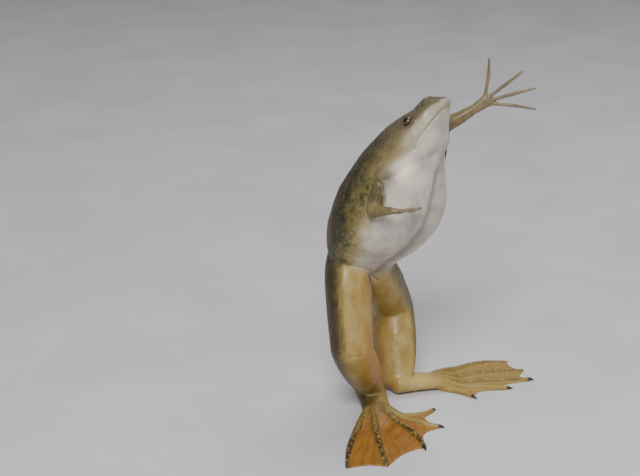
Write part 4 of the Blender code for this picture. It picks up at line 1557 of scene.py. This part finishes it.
def stitch_material():
    dye = Dye("sense_stitches", 0.48)
    dark = dye.mix(dye.between(dye.noise(2.5, 3), 0.35, 0.65), STITCH_OLIVE, STITCH_DARK)
    dye.set("Base Color", dye.mix(dye.stored("on_back"), STITCH_PALE, dark))
    dye.coat(0.15, 0.25)
    return dye.mat


stitch = stitch_material()
print("stitch material:", len(stitch.node_tree.nodes), "nodes")


# %% Stitch tree
def stitch_recipe():
    tree, given, result = new_tree("stitches", spacing="Float", length="Float", width="Float", height="Float",
                                   skin="Object", material="Material")
    line = add_node(tree, "GeometryNodeMeshToCurve", [("Mesh", given["Geometry"])])
    line = add_node(tree, "GeometryNodeResampleCurve", [("Curve", line["Curve"]),
                                                        ("Length", given["spacing"])], mode="LENGTH")
    under = add_node(tree, "GeometryNodeObjectInfo", [("Object", given["skin"])], transform_space="RELATIVE")
    normal = add_node(tree, "GeometryNodeInputNormal")
    tangent = add_node(tree, "GeometryNodeInputTangent")
    nearest = add_node(tree, "GeometryNodeProximity", [(0, under["Geometry"])])
    surface = add_node(tree, "GeometryNodeSampleNearestSurface", [("Mesh", under["Geometry"]),
                                                                  ("Value", normal["Normal"])],
                       data_type="FLOAT_VECTOR")
    spots = add_node(tree, "GeometryNodeSetPosition", [("Geometry", line["Curve"]),
                                                       ("Position", nearest["Position"])])
    spin = add_node(tree, "FunctionNodeAlignRotationToVector", [("Vector", surface["Value"])], axis="Z")
    spin = add_node(tree, "FunctionNodeAlignRotationToVector", [("Rotation", spin["Rotation"]),
                                                                ("Vector", tangent["Tangent"])],
                    axis="X", pivot_axis="Z")
    bar = add_node(tree, "GeometryNodeMeshUVSphere", [("Segments", 10), ("Rings", 6), ("Radius", 0.5)])
    size = add_node(tree, "ShaderNodeCombineXYZ", [("X", given["width"]), ("Y", given["length"]),
                                                   ("Z", given["height"])])
    laid = add_node(tree, "GeometryNodeInstanceOnPoints", [("Points", spots["Geometry"]),
                                                           ("Instance", bar["Mesh"]),
                                                           ("Rotation", spin["Rotation"]),
                                                           ("Scale", size["Vector"])])
    end_tree(tree, laid["Instances"], given["material"], result)
    return tree


stitch_tree = stitch_recipe()
print("stitch recipe:", len(stitch_tree.nodes), "nodes")

# %% Rows of stitches
# each row is a tone, from 0 for pale to 1 for dark, and a line of pairs on the body
STITCH_ROWS = (
    (1, [(0.20, 50), (0.28, 42), (0.40, 32), (0.55, 24), (0.70, 22), (0.82, 26)]),
    (1, [(0.30, 66), (0.45, 62), (0.60, 60), (0.76, 62)]),
    (0.8, [(0.44, -12), (0.56, -18), (0.68, -20), (0.80, -12)]),
    (0, [(0.05, -48), (0.10, -46), (0.16, -44), (0.22, -42)]),
    (0.4, [(0.03, 34), (0.05, 36), (0.085, 38)]),
)
EYE_RING_R, EYE_RING_GAP = 4.3, 0.5
STITCH_SIZES = {"spacing": 2.1 * MM, "length": 0.95 * MM, "width": 0.28 * MM, "height": 0.16 * MM,
                "skin": skin, "material": stitch}


def ring_round_eye(side):
    "an open ring in millimetres, with a gap between its ends"
    centre, look = eyes[side]
    u = unit(np.cross(look, FORE))
    v = np.cross(look, u)
    turns = np.linspace(EYE_RING_GAP, 2 * math.pi - EYE_RING_GAP, 22)
    return np.array([centre + (u * math.cos(a) + v * math.sin(a)) * EYE_RING_R for a in turns])


rows, tones = [], []
for side, sign in SIDES:
    for tone, run in STITCH_ROWS:
        rows.append(to_metres(line_on_body(sign, run)))
        tones.append(tone)
    rows.append(to_metres(ring_round_eye(side)))
    tones.append(1)
carrier = wire("stitch_rows", rows, tones)
stitches = grow(stitch_tree, carrier, "sense_stitches", STITCH_SIZES)
bpy.data.objects.remove(carrier, do_unlink=True)
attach(stitches, "root")
print("stitches:", count_triangles(stitches.data), "triangles")

# %% [markdown]
# ## Skin grain
#
# Seen close, the back and the legs carry low grains, the mouths of the slime glands. They are
# strewn over the skin at random but never crowd, each a flat dome, and they take their colour
# from the skin below, because points that are scattered on a mesh carry its stored values along.

# %% Grain tree
MOST_GRAINS = 1.2e6           # for each square metre
SMALLEST, FLATNESS = 0.55, 0.5


def grain_recipe():
    tree, given, result = new_tree("grains", least_gap="Float", grain_size="Float", seed="Int",
                                   material="Material")
    chosen = add_node(tree, "GeometryNodeInputNamedAttribute", [("Name", "grainy")], data_type="FLOAT")
    strewn = add_node(tree, "GeometryNodeDistributePointsOnFaces",
                      [("Mesh", given["Geometry"]), ("Distance Min", given["least_gap"]),
                       ("Density Factor", chosen["Attribute"]), ("Seed", given["seed"]),
                       ("Density Max", MOST_GRAINS)], distribute_method="POISSON")
    grain = add_node(tree, "GeometryNodeMeshIcoSphere", [("Radius", 0.5), ("Subdivisions", 2)])
    chance = add_node(tree, "FunctionNodeRandomValue", [("Seed", given["seed"]), (2, SMALLEST), (3, 1.0)],
                      data_type="FLOAT")
    wide = calculate(tree, "MULTIPLY", chance[1], given["grain_size"])
    size = add_node(tree, "ShaderNodeCombineXYZ", [("X", wide), ("Y", wide),
                                                   ("Z", calculate(tree, "MULTIPLY", wide, FLATNESS))])
    laid = add_node(tree, "GeometryNodeInstanceOnPoints", [("Points", strewn["Points"]),
                                                           ("Instance", grain["Mesh"]),
                                                           ("Rotation", strewn["Rotation"]),
                                                           ("Scale", size["Vector"])])
    end_tree(tree, laid["Instances"], given["material"], result)
    return tree


grain_tree = grain_recipe()
print("grain recipe:", len(grain_tree.nodes), "nodes")

# %% Strew the grains
GRAIN_SIZES = {"least_gap": 1.5 * MM, "grain_size": 0.30 * MM, "seed": 7, "material": skin_material}
grainy = ease((upper - 0.35) / 0.3) * (1 - foot_share) * (1 - hand)
for centre, look in eyes.values():
    grainy *= ease((np.linalg.norm(points - centre, axis=1) - 5.0) / 1.5)
store(skin.data, "grainy", grainy * (s > 0.03))
grains = grow(grain_tree, skin, "skin_grains", GRAIN_SIZES)
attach(grains, "root")
print("grains:", count_triangles(grains.data), "triangles, carrying",
      sum(a.data_type == "FLOAT" for a in grains.data.attributes), "stored values")

# %% [markdown]
# ## Studio
#
# The frog stands on a plain pale floor under broad, soft light. One large lamp hangs above it a
# little to the camera's left, which puts the wet highlights on throat and chest, and two weaker
# ones fill the shadows. The camera stands 20 degrees above the floor, as in the picture it is
# taken from.

# %% Floor
FLOOR_R = 6.0                 # metres
FLOOR_GREY, FLOOR_PALE = srgb(192, 191, 195), srgb(202, 200, 204)


def floor_material():
    dye = Dye("studio_floor", 0.55)
    dye.set("Base Color", dye.mix(dye.between(dye.noise(60, 3), 0.3, 0.7), FLOOR_GREY, FLOOR_PALE))
    return dye.mat


bpy.ops.mesh.primitive_circle_add(vertices=96, radius=FLOOR_R, fill_type="NGON", location=(0, 0, 0))
floor = bpy.context.object
floor.name = "studio_floor"
floor.data.materials.append(floor_material())
print("floor:", len(floor.data.vertices), "corners")


# %% Lights
def toward(place, aim):
    "the turn that makes a lamp or a camera look from a place at an aim"
    return (Vector(aim) - Vector(place)).to_track_quat("-Z", "Y").to_euler()


def lamp(name, place, aim, size, power, colour):
    data = bpy.data.lights.new(name, "AREA")
    data.shape = "DISK"
    data.size = size
    data.energy = power
    data.color = colour
    obj = link(name, data)
    obj.location = place
    obj.rotation_euler = toward(place, aim)


lamp("key", (-0.14, -0.74, 0.80), (0, 0, 0.09), 0.38, 12.0, (1.0, 0.98, 0.94))
lamp("fill", (0.7, -0.5, 0.4), (0, 0, 0.08), 0.7, 2.0, (0.96, 0.97, 1.0))
lamp("top", (0.2, 0.4, 0.9), (0, 0, 0.05), 0.6, 4.0, (1.0, 1.0, 1.0))
world = bpy.data.worlds.new("studio")
world.use_nodes = True
sky = world.node_tree.nodes["Background"].inputs
sky["Color"].default_value = (0.84, 0.84, 0.85, 1)
sky["Strength"].default_value = 0.32
bpy.context.scene.world = world
print("lamps:", len(bpy.data.lights))

# %% [markdown]
# ## Camera
#
# The lens is a long one, so near and far limbs keep their true sizes, and the view's centre lies
# beside the frog, because in the picture the frog stands right of the middle. The camera stands
# about 60 centimetres away.

# %% Camera
CAMERA_AT, LOOKS_AT = (-0.051300, -0.581530, 0.294700), (-0.051300, -0.017730, 0.089500)
camera_data = bpy.data.cameras.new("camera")
camera = link("camera", camera_data)
camera.location = CAMERA_AT
camera.rotation_euler = toward(camera.location, LOOKS_AT)
camera_data.lens = 81
camera_data.sensor_width = 36
camera_data.dof.use_dof = False
bpy.context.scene.camera = camera
print("camera at", [round(x, 3) for x in camera.location])
